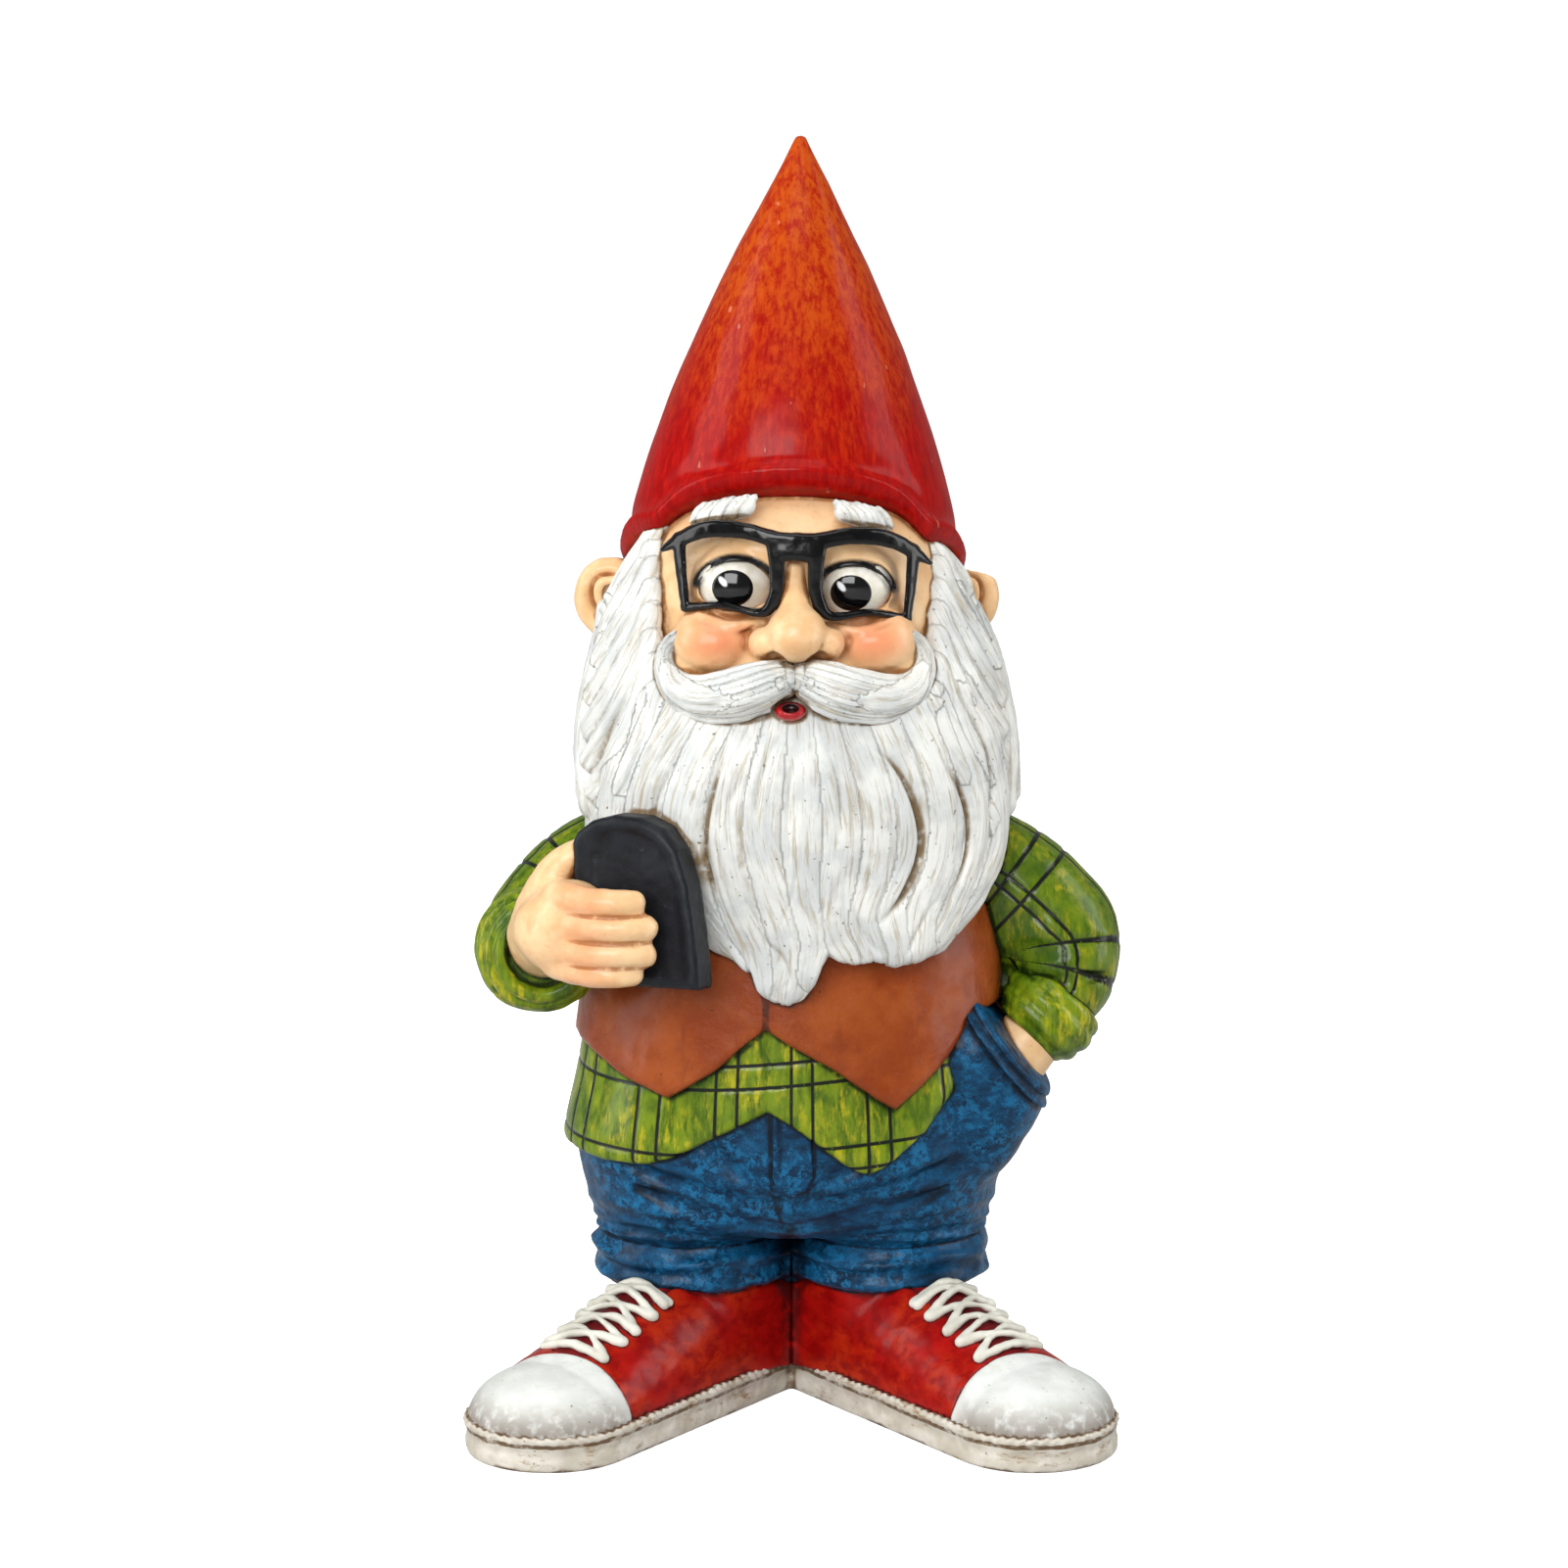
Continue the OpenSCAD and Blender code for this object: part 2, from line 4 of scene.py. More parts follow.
import bpy
import numpy as np
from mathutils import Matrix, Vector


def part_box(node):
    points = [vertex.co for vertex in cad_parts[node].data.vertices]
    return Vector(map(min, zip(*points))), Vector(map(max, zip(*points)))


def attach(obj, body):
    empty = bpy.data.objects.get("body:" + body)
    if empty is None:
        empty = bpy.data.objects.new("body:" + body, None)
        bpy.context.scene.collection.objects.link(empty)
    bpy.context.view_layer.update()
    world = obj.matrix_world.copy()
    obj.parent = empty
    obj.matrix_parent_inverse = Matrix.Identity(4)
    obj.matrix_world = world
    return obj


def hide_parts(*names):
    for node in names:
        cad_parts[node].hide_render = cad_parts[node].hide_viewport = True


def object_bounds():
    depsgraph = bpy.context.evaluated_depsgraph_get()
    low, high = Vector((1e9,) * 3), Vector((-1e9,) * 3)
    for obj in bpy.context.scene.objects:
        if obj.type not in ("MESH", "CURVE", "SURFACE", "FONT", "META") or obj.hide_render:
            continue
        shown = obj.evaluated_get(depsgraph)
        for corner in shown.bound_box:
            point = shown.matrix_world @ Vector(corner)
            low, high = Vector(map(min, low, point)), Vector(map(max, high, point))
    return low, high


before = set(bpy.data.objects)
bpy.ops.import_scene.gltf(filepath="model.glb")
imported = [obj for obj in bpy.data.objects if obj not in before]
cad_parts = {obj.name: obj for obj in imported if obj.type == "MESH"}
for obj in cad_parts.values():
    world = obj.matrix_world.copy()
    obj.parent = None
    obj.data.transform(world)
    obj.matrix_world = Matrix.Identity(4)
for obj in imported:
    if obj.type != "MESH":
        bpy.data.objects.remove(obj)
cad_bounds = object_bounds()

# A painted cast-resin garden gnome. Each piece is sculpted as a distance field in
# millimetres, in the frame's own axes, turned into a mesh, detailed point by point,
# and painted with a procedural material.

import openvdb as vdb
from mathutils import Vector

MM = 0.001
FAR = 9.0                              # distance given to empty clay, mm
SEAT = 0.4                             # how deep a piece is let into its neighbour, mm
COARSE = 1.0
LEFT, RIGHT = 1, -1                    # the figure's own sides, along X


class Box:
    """A CAD node's box in millimetres."""

    def __init__(self, node):
        lo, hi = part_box(node)
        self.lo = np.array(lo) / MM
        self.hi = np.array(hi) / MM
        self.mid = (self.lo + self.hi) / 2
        self.size = self.hi - self.lo


HAT = Box("hat")
HEAD = Box("head")
BEARD = Box("beard")
HAIR = Box("hair")
PHONE = Box("phone")
SOLE = Box("sole")
PUPILS = {RIGHT: Box("right_pupil"), LEFT: Box("left_pupil")}
EYEBALL = Box("right_eyeball")
LIP = Box("lower_lip")

TOP = HAT.hi[2]
TILT = math.radians(29)                # the brim is lifted this much at the front
BRIM_R = HAT.hi[0]
BRIM_SAG = 0.0022
BRIM_Z = HAT.lo[2] + HAT.hi[1] * math.tan(TILT)
FACE_X = (PUPILS[RIGHT].mid[0] + PUPILS[LEFT].mid[0]) / 2
EYE_X = (PUPILS[LEFT].mid[0] - PUPILS[RIGHT].mid[0]) / 2
EYE_Z = PUPILS[LEFT].mid[2]
EYE_R = EYEBALL.size[0] / 2
EYE_Y = EYEBALL.hi[1] - EYE_R
SOLE_T = SOLE.hi[2]


# ---------- distance fields ----------

def smin(a, b, k):
    """The smaller of two distances, blended over k millimetres."""
    if k <= 0:
        return np.minimum(a, b)
    h = np.clip(0.5 + 0.5 * (b - a) / k, 0, 1)
    return b + (a - b) * h - k * h * (1 - h)


def smax(a, b, k):
    return -smin(-a, -b, k)


def catmull(rows, count):
    """A smooth curve through rows of numbers, sampled at count + 1 places."""
    rows = np.array(rows, float)
    padded = np.vstack([2 * rows[0] - rows[1], rows, 2 * rows[-1] - rows[-2]])
    t = np.linspace(0, len(rows) - 1 - 1e-6, count + 1)
    i = t.astype(int)
    f = (t - i)[:, None]
    a, b, c, d = (padded[i + k] for k in range(4))
    return 0.5 * (2 * b + (c - a) * f + (2 * a - 5 * b + 4 * c - d) * f ** 2
                  + (3 * b - a - 3 * c + d) * f ** 3)


class Form:
    """A shape: its distance function and the box that holds it."""

    def __init__(self, dist, lo=(-500,) * 3, hi=(500,) * 3):
        self.dist = dist
        self.lo = np.array(lo, float)
        self.hi = np.array(hi, float)

    def grown(self, by):
        return Form(lambda x, y, z: self.dist(x, y, z) - by, self.lo - by, self.hi + by)


def egg(centre, radii):
    c, r = np.array(centre, float), np.array(radii, float)

    def dist(x, y, z):
        u, v, w = (x - c[0]) / r[0], (y - c[1]) / r[1], (z - c[2]) / r[2]
        k0 = np.sqrt(u * u + v * v + w * w)
        k1 = np.sqrt((u / r[0]) ** 2 + (v / r[1]) ** 2 + (w / r[2]) ** 2) + 1e-6
        return k0 * (k0 - 1) / k1

    return Form(dist, c - r, c + r)


def span(axis, lo, hi):
    """The part of a grid axis between lo and hi."""
    flat = axis.ravel()
    return slice(np.searchsorted(flat, lo), np.searchsorted(flat, hi))


def bone_distance(x, y, z, a, b):
    step = b[:3] - a[:3]
    h = ((x - a[0]) * step[0] + (y - a[1]) * step[1] + (z - a[2]) * step[2]) / max(step @ step, 1e-6)
    h = np.clip(h, 0, 1)
    dx, dy, dz = x - a[0] - step[0] * h, y - a[1] - step[1] * h, z - a[2] - step[2] * h
    return np.sqrt(dx * dx + dy * dy + dz * dz) - (a[3] + (b[3] - a[3]) * h)


def tube(points, count=24):
    """A round tube along a smooth curve through rows of x, y, z, radius."""
    path = catmull(points, count).astype(np.float32)
    lo = (path[:, :3] - path[:, 3:]).min(0)
    hi = (path[:, :3] + path[:, 3:]).max(0)

    def dist(x, y, z):
        out = np.full(np.broadcast_shapes(x.shape, y.shape, z.shape), FAR, np.float32)
        for a, b in zip(path[:-1], path[1:]):
            reach = max(a[3], b[3]) + 4
            low, high = np.minimum(a, b) - reach, np.maximum(a, b) + reach
            i, j, k = span(x, low[0], high[0]), span(y, low[1], high[1]), span(z, low[2], high[2])
            part = bone_distance(x[i], y[:, j], z[:, :, k], a, b)
            out[i, j, k] = np.minimum(out[i, j, k], part)
        return out

    return Form(dist, lo, hi)


def loft(stations, grow=0.0, soft=3.0):
    """Stacked ellipses: rows of z, centre x, centre y, half width, half depth."""
    rows = catmull(sorted(stations), 120)

    def dist(x, y, z):
        cx, cy, rx, ry = (np.interp(z, rows[:, 0], rows[:, k]).astype(np.float32) for k in (1, 2, 3, 4))
        rx, ry = rx + grow, ry + grow
        u, v = (x - cx) / rx, (y - cy) / ry
        k0 = np.sqrt(u * u + v * v)
        k1 = np.sqrt((u / rx) ** 2 + (v / ry) ** 2) + 1e-6
        ends = np.maximum(rows[0, 0] - z, z - rows[-1, 0]) - grow
        return smax(k0 * (k0 - 1) / k1, ends, soft)

    wide = rows[:, 3] + abs(grow)
    deep = rows[:, 4] + abs(grow)
    lo = (np.min(rows[:, 1] - wide), np.min(rows[:, 2] - deep), rows[0, 0] - abs(grow))
    hi = (np.max(rows[:, 1] + wide), np.max(rows[:, 2] + deep), rows[-1, 0] + abs(grow))
    return Form(dist, lo, hi)


def half_space(point, normal):
    """The side of a plane that its normal points away from."""
    n = np.array(normal, float) / np.linalg.norm(normal)
    return Form(lambda x, y, z: (x - point[0]) * n[0] + (y - point[1]) * n[1] + (z - point[2]) * n[2])


def outline_distance(u, v, corners):
    """Distance to a closed outline in a plane, less than zero inside."""
    near, inside = np.inf, False
    for (u0, v0), (u1, v1) in zip(corners, corners[1:] + corners[:1]):
        eu, ev = u1 - u0, v1 - v0
        wu, wv = u - u0, v - v0
        h = np.clip((wu * eu + wv * ev) / (eu * eu + ev * ev), 0, 1)
        near = np.minimum(near, (wu - eu * h) ** 2 + (wv - ev * h) ** 2)
        across = (v0 <= v) != (v1 <= v)
        inside = inside ^ (across & (wu < wv * eu / (ev if ev else 1e-9)))
    return np.where(inside, -1, 1) * np.sqrt(near)


def curtain(corners, front, back, soft=1.0):
    """An outline in X and Z run along Y from front to back."""
    corners = [tuple(map(float, corner)) for corner in corners]

    def dist(x, y, z):
        flat = outline_distance(x, z, corners).astype(np.float32)
        return smax(flat, np.maximum(front - y, y - back), soft)

    return Form(dist)


class Clay:
    """A block of clay: the distance to the surface at each point of a grid."""

    def __init__(self, lo, hi, step):
        self.step = step * COARSE
        self.lo = np.array(lo, float)
        counts = np.ceil((np.array(hi, float) - self.lo) / self.step).astype(int) + 1
        axes = [(self.lo[k] + self.step * np.arange(counts[k])).astype(np.float32) for k in range(3)]
        self.axes = [axes[0][:, None, None], axes[1][None, :, None], axes[2][None, None, :]]
        self.hi = self.lo + self.step * (counts - 1)
        self.d = np.full(counts, FAR, np.float32)

    def window(self, form, pad):
        cuts = tuple(span(self.axes[k], form.lo[k] - pad, form.hi[k] + pad) for k in range(3))
        x, y, z = self.axes
        return cuts, form.dist(x[cuts[0]], y[:, cuts[1]], z[:, :, cuts[2]])

    def add(self, form, k=0.0):
        cuts, dist = self.window(form, k + 3)
        self.d[cuts] = smin(self.d[cuts], dist, k)
        return self

    def cut(self, form, k=0.0):
        cuts, dist = self.window(form, k + 3)
        self.d[cuts] = smax(self.d[cuts], -dist, k)
        return self

    def keep(self, form, k=0.0):
        self.d = smax(self.d, form.dist(*self.axes), k).astype(np.float32)
        return self

    def sample(self, points):
        """The distance at rows of x, y, z, blended from the eight grid points around each."""
        at = (points - self.lo) / self.step
        base = np.clip(np.floor(at).astype(int), 0, np.array(self.d.shape) - 2)
        f = np.clip(at - base, 0, 1)
        total = 0
        for corner in itertools.product((0, 1), repeat=3):
            weight = np.prod(np.where(corner, f, 1 - f), axis=1)
            i, j, k = (base + corner).T
            total = total + weight * self.d[i, j, k]
        return total

    def normals(self, points):
        h = self.step
        slopes = [self.sample(points + shift) - self.sample(points - shift) for shift in np.eye(3) * h]
        n = np.stack(slopes, 1)
        return n / (np.linalg.norm(n, axis=1, keepdims=True) + 1e-9)

    def surface(self):
        """Points and four-sided faces of the surface, in one connected piece."""
        band = 3 * self.step
        grid = vdb.FloatGrid(band)
        grid.copyFromArray(np.clip(self.d, -band, band).astype(np.float32), tolerance=0.0)
        points, quads = grid.convertToQuads(isovalue=0.0)
        points, quads = largest_island(self.lo + points.astype(float) * self.step, quads.astype(np.int64))
        for _ in range(2):
            points = points - self.normals(points) * np.clip(self.sample(points), -1, 1)[:, None] * 0.8
        return points, outward(points, quads)


def largest_island(points, quads):
    """Drops everything that isn't joined to the largest connected stretch of faces."""
    label = np.arange(len(points))
    while True:
        low = label[quads].min(1)
        new = label.copy()
        for k in range(4):
            np.minimum.at(new, quads[:, k], low)
        new = new[new]
        if np.array_equal(new, label):
            break
        label = new
    names, sizes = np.unique(label, return_counts=True)
    kept = label == names[sizes.argmax()]
    order = np.cumsum(kept) - 1
    return points[kept], order[quads[kept[quads[:, 0]]]]


def outward(points, quads):
    """The faces with their normals pointing out of the solid."""
    a, b, c, d = (points[quads[:, k]] for k in range(4))
    volume = np.einsum("ij,ij->i", a, np.cross(b, c)) + np.einsum("ij,ij->i", a, np.cross(c, d))
    return quads if volume.sum() > 0 else quads[:, ::-1]


def lattice_noise(points, seed=0):
    """Smooth noise from -1 to 1 at rows of three coordinates, one lattice cell per unit."""
    base = np.floor(points).astype(np.int64)
    f = points - base
    f = f * f * (3 - 2 * f)
    total = 0
    for corner in itertools.product((0, 1), repeat=3):
        cell = base + corner
        mixed = (cell[:, 0] * 73856093) ^ (cell[:, 1] * 19349663) ^ (cell[:, 2] * 83492791) ^ (seed * 2654435761)
        mixed = ((mixed ^ (mixed >> 13)) * 1274126177) & 0x7FFFFFFF
        mixed = (mixed ^ (mixed >> 11)) & 0xFFFF
        total = total + (mixed / 32767.5 - 1) * np.prod(np.where(corner, f, 1 - f), axis=1)
    return total


# ---------- meshes ----------

def make_piece(node, points, quads, material, attributes=()):
    """A smooth mesh object that stands for a CAD node and rides on the one body."""
    mesh = bpy.data.meshes.new(node + "_sculpt")
    mesh.vertices.add(len(points))
    mesh.vertices.foreach_set("co", (points * MM).astype(np.float32).ravel())
    mesh.loops.add(quads.size)
    mesh.loops.foreach_set("vertex_index", quads.astype(np.int32).ravel())
    mesh.polygons.add(len(quads))
    mesh.polygons.foreach_set("loop_start", np.arange(0, quads.size, 4, dtype=np.int32))
    mesh.polygons.foreach_set("use_smooth", np.ones(len(quads), bool))
    for name, values in dict(attributes).items():
        kind, field = ("FLOAT", "value") if values.ndim == 1 else ("FLOAT_VECTOR", "vector")
        layer = mesh.attributes.new(name, kind, "POINT")
        layer.data.foreach_set(field, values.astype(np.float32).ravel())
    mesh.update()
    mesh.validate()
    mesh.materials.append(material)
    piece = bpy.data.objects.new(node + "_sculpt", mesh)
    bpy.context.scene.collection.objects.link(piece)
    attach(piece, "root")
    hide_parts(node)
    return piece


def sculpt(node, clay, material, detail=None, attributes=None):
    """Meshes the clay and sets it aside until every piece is known."""
    points, quads = clay.surface()
    normals = clay.normals(points)
    marks = {"cavity": 0}
    if attributes:
        marks.update(attributes(points, normals))
    SCULPTED.append((node, clay, material, detail, points, quads, normals, marks))


SCULPTED = []


def closeness(points, normals):
    """How closed in each point is, from 0 on open ground to 1 in a groove or against another piece."""
    total = 0
    for reach in (0.7, 1.5, 2.6):
        probe = points + normals * reach
        lo, hi = probe.min(0), probe.max(0)
        near = np.full(len(points), FAR)
        for _, clay, *_ in SCULPTED:
            if (clay.hi < lo).any() or (clay.lo > hi).any():
                continue
            inside = ((probe > clay.lo) & (probe < clay.hi)).all(1)
            if inside.any():
                near[inside] = np.minimum(near[inside], clay.sample(probe[inside]))
        total = total + np.clip(1 - near / reach, 0, 1)
    return total / 3


def finish_pieces():
    """Adds each piece's detail and the mask for its wash and painted shade, and makes its mesh."""
    for node, clay, material, detail, points, quads, normals, marks in SCULPTED:
        # The cavity mask, closeness to the figure's own surfaces plus each piece's own dark marks, sets the wash and
        # the painted shade.
        marks["cavity"] = np.clip(closeness(points, normals) + marks.get("stain", 0), 0, 1)
        if detail:
            points = points + normals * detail(points, normals, marks)[:, None]
        make_piece(node, points, quads, material, marks)


class Locks:
    """Curves that locks of hair follow: rows of x, y, z, radius for each."""

    def __init__(self, curves, count=30):
        self.curves = curves
        self.paths = [catmull(curve, count) for curve in curves]
        self.starts = np.vstack([path[:-1, :3] for path in self.paths])
        steps = np.vstack([np.diff(path[:, :3], axis=0) for path in self.paths])
        self.lengths = np.linalg.norm(steps, axis=1) + 1e-6
        self.ways = steps / self.lengths[:, None]
        self.along = np.concatenate([np.cumsum(np.linalg.norm(np.diff(path[:, :3], axis=0), axis=1))
                                     for path in self.paths]) - self.lengths
        self.names = np.repeat(np.arange(len(self.paths)), count)
        self.widths = np.concatenate([path[:-1, 3] for path in self.paths])
        out = self.starts * (1, 1, 0) - (0, 8, 0)
        sides = np.cross(self.ways, out)
        self.sides = sides / (np.linalg.norm(sides, axis=1, keepdims=True) + 1e-9)
        self.ups = np.cross(self.sides, self.ways)

    def add_to(self, clay, k):
        for curve in self.curves:
            clay.add(tube(curve, 28), k)

    def flow(self, points):
        """Each point's place around its nearest lock, its way along it, and the lock's number."""
        out = np.empty((len(points), 3))
        lean = (self.starts * self.ways).sum(1)
        far = (self.starts ** 2).sum(1)
        for first in range(0, len(points), 4000):
            rows = slice(first, first + 4000)
            p = points[rows]
            forward = p @ self.ways.T - lean
            reach = np.clip(forward, 0, self.lengths)
            gap = (p ** 2).sum(1)[:, None] + far - 2 * p @ self.starts.T + reach * (reach - 2 * forward)
            near = (np.sqrt(np.maximum(gap, 0)) - self.widths).argmin(1)
            offset = p - self.starts[near]
            turn = np.arctan2((offset * self.sides[near]).sum(1), (offset * self.ups[near]).sum(1))
            out[rows, 0] = turn * np.maximum(self.widths[near], 1.5)
            out[rows, 1] = self.along[near] + (offset * self.ways[near]).sum(1)
            out[rows, 2] = self.names[near]
        return out


def strands(flow, fine=1.5, depth=0.22, seed=0):
    """Height of combed strands that run along the locks, with a few sharper creases."""
    across, along, lock = flow.T
    coarse = lattice_noise(np.stack([across / fine, along / 16, lock * 7.3], 1), seed)
    thin = lattice_noise(np.stack([across / (fine * 0.5), along / 9, lock * 3.1], 1), seed + 1)
    crease = np.exp(-(lattice_noise(np.stack([across / 3.2, along / 26, lock * 5.7], 1), seed + 2) / 0.13) ** 2)
    return depth * (coarse + 0.5 * thin - 1.5 * crease)


# ---------- paint ----------

def srgb(red, green, blue):
    """A display colour from 0 to 255 as the linear colour nodes use."""
    def line(c):
        c = c / 255
        return c / 12.92 if c <= 0.04045 else ((c + 0.055) / 1.055) ** 2.4
    return (line(red), line(green), line(blue), 1.0)


class Paint:
    """Builds one procedural material."""

    def __init__(self, name):
        self.material = bpy.data.materials.new(name)
        self.material.use_nodes = True
        self.tree = self.material.node_tree
        self.tree.nodes.clear()
        self.shader = self.tree.nodes.new("ShaderNodeBsdfPrincipled")
        out = self.tree.nodes.new("ShaderNodeOutputMaterial")
        self.tree.links.new(self.shader.outputs[0], out.inputs[0])
        self.place = self.tree.nodes.new("ShaderNodeTexCoord").outputs["Object"]

    def put(self, socket, value):
        if isinstance(value, bpy.types.NodeSocket):
            self.tree.links.new(value, socket)
        else:
            socket.default_value = value

    def attribute(self, name, output="Fac"):
        node = self.tree.nodes.new("ShaderNodeAttribute")
        node.attribute_name = name
        return node.outputs[output]

    def math(self, operation, a, b=0.0, clamp=False):
        node = self.tree.nodes.new("ShaderNodeMath")
        node.operation, node.use_clamp = operation, clamp
        self.put(node.inputs[0], a)
        self.put(node.inputs[1], b)
        return node.outputs[0]

    def stretch(self, vector, scale):
        node = self.tree.nodes.new("ShaderNodeMapping")
        self.put(node.inputs["Vector"], vector)
        node.inputs["Scale"].default_value = scale
        return node.outputs[0]

    def noise(self, size, detail=3.0, vector=None, rough=0.55, stretch=(1, 1, 1), twist=0.0):
        """Noise whose blotches are about size millimetres across."""
        node = self.tree.nodes.new("ShaderNodeTexNoise")
        node.inputs["Scale"].default_value = 1.0
        node.inputs["Detail"].default_value = detail
        node.inputs["Roughness"].default_value = rough
        node.inputs["Distortion"].default_value = twist
        unit = 1.0 if vector else 1000.0
        source = vector if vector else self.place
        self.put(node.inputs["Vector"], self.stretch(source, [unit * s / size for s in stretch]))
        return node.outputs["Fac"]

    def ramp(self, value, low, high):
        """0 below low, 1 above high, smooth between."""
        node = self.tree.nodes.new("ShaderNodeMapRange")
        node.interpolation_type = "SMOOTHSTEP"
        self.put(node.inputs["Value"], value)
        node.inputs["From Min"].default_value = low
        node.inputs["From Max"].default_value = high
        return node.outputs["Result"]

    def mix(self, amount, a, b, blend="MIX"):
        node = self.tree.nodes.new("ShaderNodeMix")
        node.data_type, node.blend_type = "RGBA", blend
        sockets = [s for s in node.inputs if s.enabled]
        for socket, value in zip(sockets, (amount, a, b)):
            self.put(socket, value)
        return [s for s in node.outputs if s.enabled][0]

    def crevice(self, reach=3.0):
        """How closed in a point is by the whole figure around it, from 0 to 1."""
        node = self.tree.nodes.new("ShaderNodeAmbientOcclusion")
        node.samples = 4
        node.inputs["Distance"].default_value = reach * MM
        return self.math("SUBTRACT", 1.0, node.outputs["AO"])

    def separate(self, vector):
        node = self.tree.nodes.new("ShaderNodeSeparateXYZ")
        self.put(node.inputs[0], vector)
        return node.outputs

    def bump(self, height, depth, normal=None):
        """Adds relief of depth millimetres."""
        node = self.tree.nodes.new("ShaderNodeBump")
        node.inputs["Strength"].default_value = 1.0
        node.inputs["Distance"].default_value = depth * MM
        self.put(node.inputs["Height"], height)
        if normal:
            self.put(node.inputs["Normal"], normal)
        return node.outputs[0]

    def finish(self, colour, rough, normal, coat=0.0, coat_rough=0.15, shine=0.2):
        self.shader.inputs["Specular IOR Level"].default_value = shine
        self.put(self.shader.inputs["Base Color"], colour)
        self.put(self.shader.inputs["Roughness"], rough)
        self.put(self.shader.inputs["Normal"], normal)
        self.put(self.shader.inputs["Coat Weight"], coat)
        self.shader.inputs["Coat Roughness"].default_value = coat_rough
        return self.material


def wash_and_shade(paint, colour, wash, start=0.25, full=0.75, strength=0.85):
    """Brown or black wash in grooves and where pieces meet, partly painted shade: the surface is darkened where it is
    closed in.
    """
    worn = paint.noise(2.5, 4)
    amount = paint.ramp(paint.attribute("cavity"), start, full)
    amount = paint.math("MULTIPLY", amount, paint.ramp(worn, 0.2, 0.55))
    amount = paint.math("MULTIPLY", amount, strength)
    return paint.mix(amount, colour, wash)


def hat_paint():
    p = Paint("hat paint")
    height = p.separate(p.place)[2]
    streaks = p.noise(1.5, 5, stretch=(1, 1, 0.16), rough=0.72)
    fine = p.noise(0.8, 4, stretch=(1, 1, 0.5), rough=0.75)
    blots = p.noise(10, 4, stretch=(1, 1, 0.5))
    drift = p.math("MULTIPLY", p.math("SUBTRACT", p.math("ADD", blots, p.math("MULTIPLY", streaks, 0.5)), 0.75), 0.06)
    level = p.ramp(p.math("ADD", height, drift), 0.224, 0.284)
    red = p.mix(p.ramp(streaks, 0.35, 0.7), srgb(146, 4, 6), srgb(180, 16, 8))
    orange = p.mix(p.ramp(streaks, 0.36, 0.6), srgb(164, 32, 8), srgb(190, 76, 16))
    colour = p.mix(level, red, orange)
    speckle = p.math("MULTIPLY", p.ramp(fine, 0.52, 0.66), p.ramp(blots, 0.35, 0.6))
    colour = p.mix(p.math("MULTIPLY", speckle, 0.5), colour, srgb(128, 24, 10))
    colour = wash_and_shade(p, colour, srgb(84, 8, 6), strength=0.6)
    scratch = p.ramp(p.noise(3.5, 2, stretch=(1.6, 1.6, 0.5), rough=0.4), 0.74, 0.76)
    colour = p.mix(p.math("MULTIPLY", scratch, 0.4), colour, srgb(226, 150, 120))
    rough = p.math("ADD", 0.36, p.math("MULTIPLY", streaks, 0.25))
    return p.finish(colour, rough, p.bump(streaks, 0.08), coat=0.2, coat_rough=0.2, shine=0.02)


def skin_paint():
    p = Paint("skin paint")
    blots = p.noise(7, 4)
    fine = p.noise(1.2, 4)
    colour = p.mix(p.ramp(blots, 0.35, 0.65), srgb(232, 186, 134), srgb(243, 205, 157))
    colour = p.mix(p.math("MULTIPLY", p.attribute("blush"), 0.75), colour, srgb(234, 134, 92))
    stain = p.math("MULTIPLY", p.ramp(fine, 0.58, 0.74), 0.3)
    colour = p.mix(stain, colour, srgb(206, 146, 84))
    colour = wash_and_shade(p, colour, srgb(160, 92, 36), 0.32, 0.8, 0.8)
    colour = p.mix(p.attribute("liner"), colour, srgb(14, 12, 12))
    rough = p.math("ADD", 0.3, p.math("MULTIPLY", fine, 0.15))
    return p.finish(colour, rough, p.bump(fine, 0.08), coat=0.3, coat_rough=0.2)


def whisker_paint():
    p = Paint("whisker paint")
    flow = p.attribute("flow", "Vector")
    streaks = p.noise(0.7, 5, flow, 0.65, stretch=(1, 0.06, 3))
    broad = p.noise(2.2, 4, flow, 0.6, stretch=(1, 0.06, 3))
    blots = p.noise(11, 4)
    pits = p.ramp(p.noise(1.3, 2), 0.7, 0.76)
    colour = p.mix(p.ramp(blots, 0.4, 0.6), srgb(216, 219, 217), srgb(236, 237, 232))
    thin = p.math("MULTIPLY", p.ramp(streaks, 0.48, 0.36), 0.6)
    colour = p.mix(thin, colour, srgb(180, 165, 134))
    stain = p.math("MULTIPLY", p.ramp(broad, 0.44, 0.3), p.ramp(blots, 0.62, 0.4))
    colour = p.mix(p.math("MULTIPLY", stain, 0.7), colour, srgb(166, 146, 106))
    colour = wash_and_shade(p, colour, srgb(124, 98, 60), 0.26, 0.7, 0.92)
    colour = p.mix(p.math("MULTIPLY", pits, 0.7), colour, srgb(120, 98, 64))
    relief = p.math("ADD", streaks, p.math("MULTIPLY", broad, 0.8))
    normal = p.bump(relief, 0.34, p.bump(p.math("MULTIPLY", pits, -1.0), 0.3))
    return p.finish(colour, 0.46, normal, coat=0.08, coat_rough=0.35)


def gloss_paint(name, dark, light, rough=0.18, coat=0.5, size=4.0, relief=0.05):
    """Glossy enamel with a little unevenness."""
    p = Paint(name)
    blots = p.noise(size, 4)
    colour = p.mix(p.ramp(blots, 0.35, 0.65), srgb(*dark), srgb(*light))
    return p.finish(colour, p.math("ADD", rough, p.math("MULTIPLY", blots, 0.12)),
                    p.bump(blots, relief), coat=coat, coat_rough=0.08)


def pupil_paint():
    """Black with a small painted highlight."""
    p = Paint("pupil paint")
    colour = p.mix(p.attribute("glint"), srgb(9, 9, 11), srgb(238, 240, 242))
    return p.finish(colour, 0.12, p.bump(p.noise(2.0, 2), 0.03), coat=0.6, coat_rough=0.05)


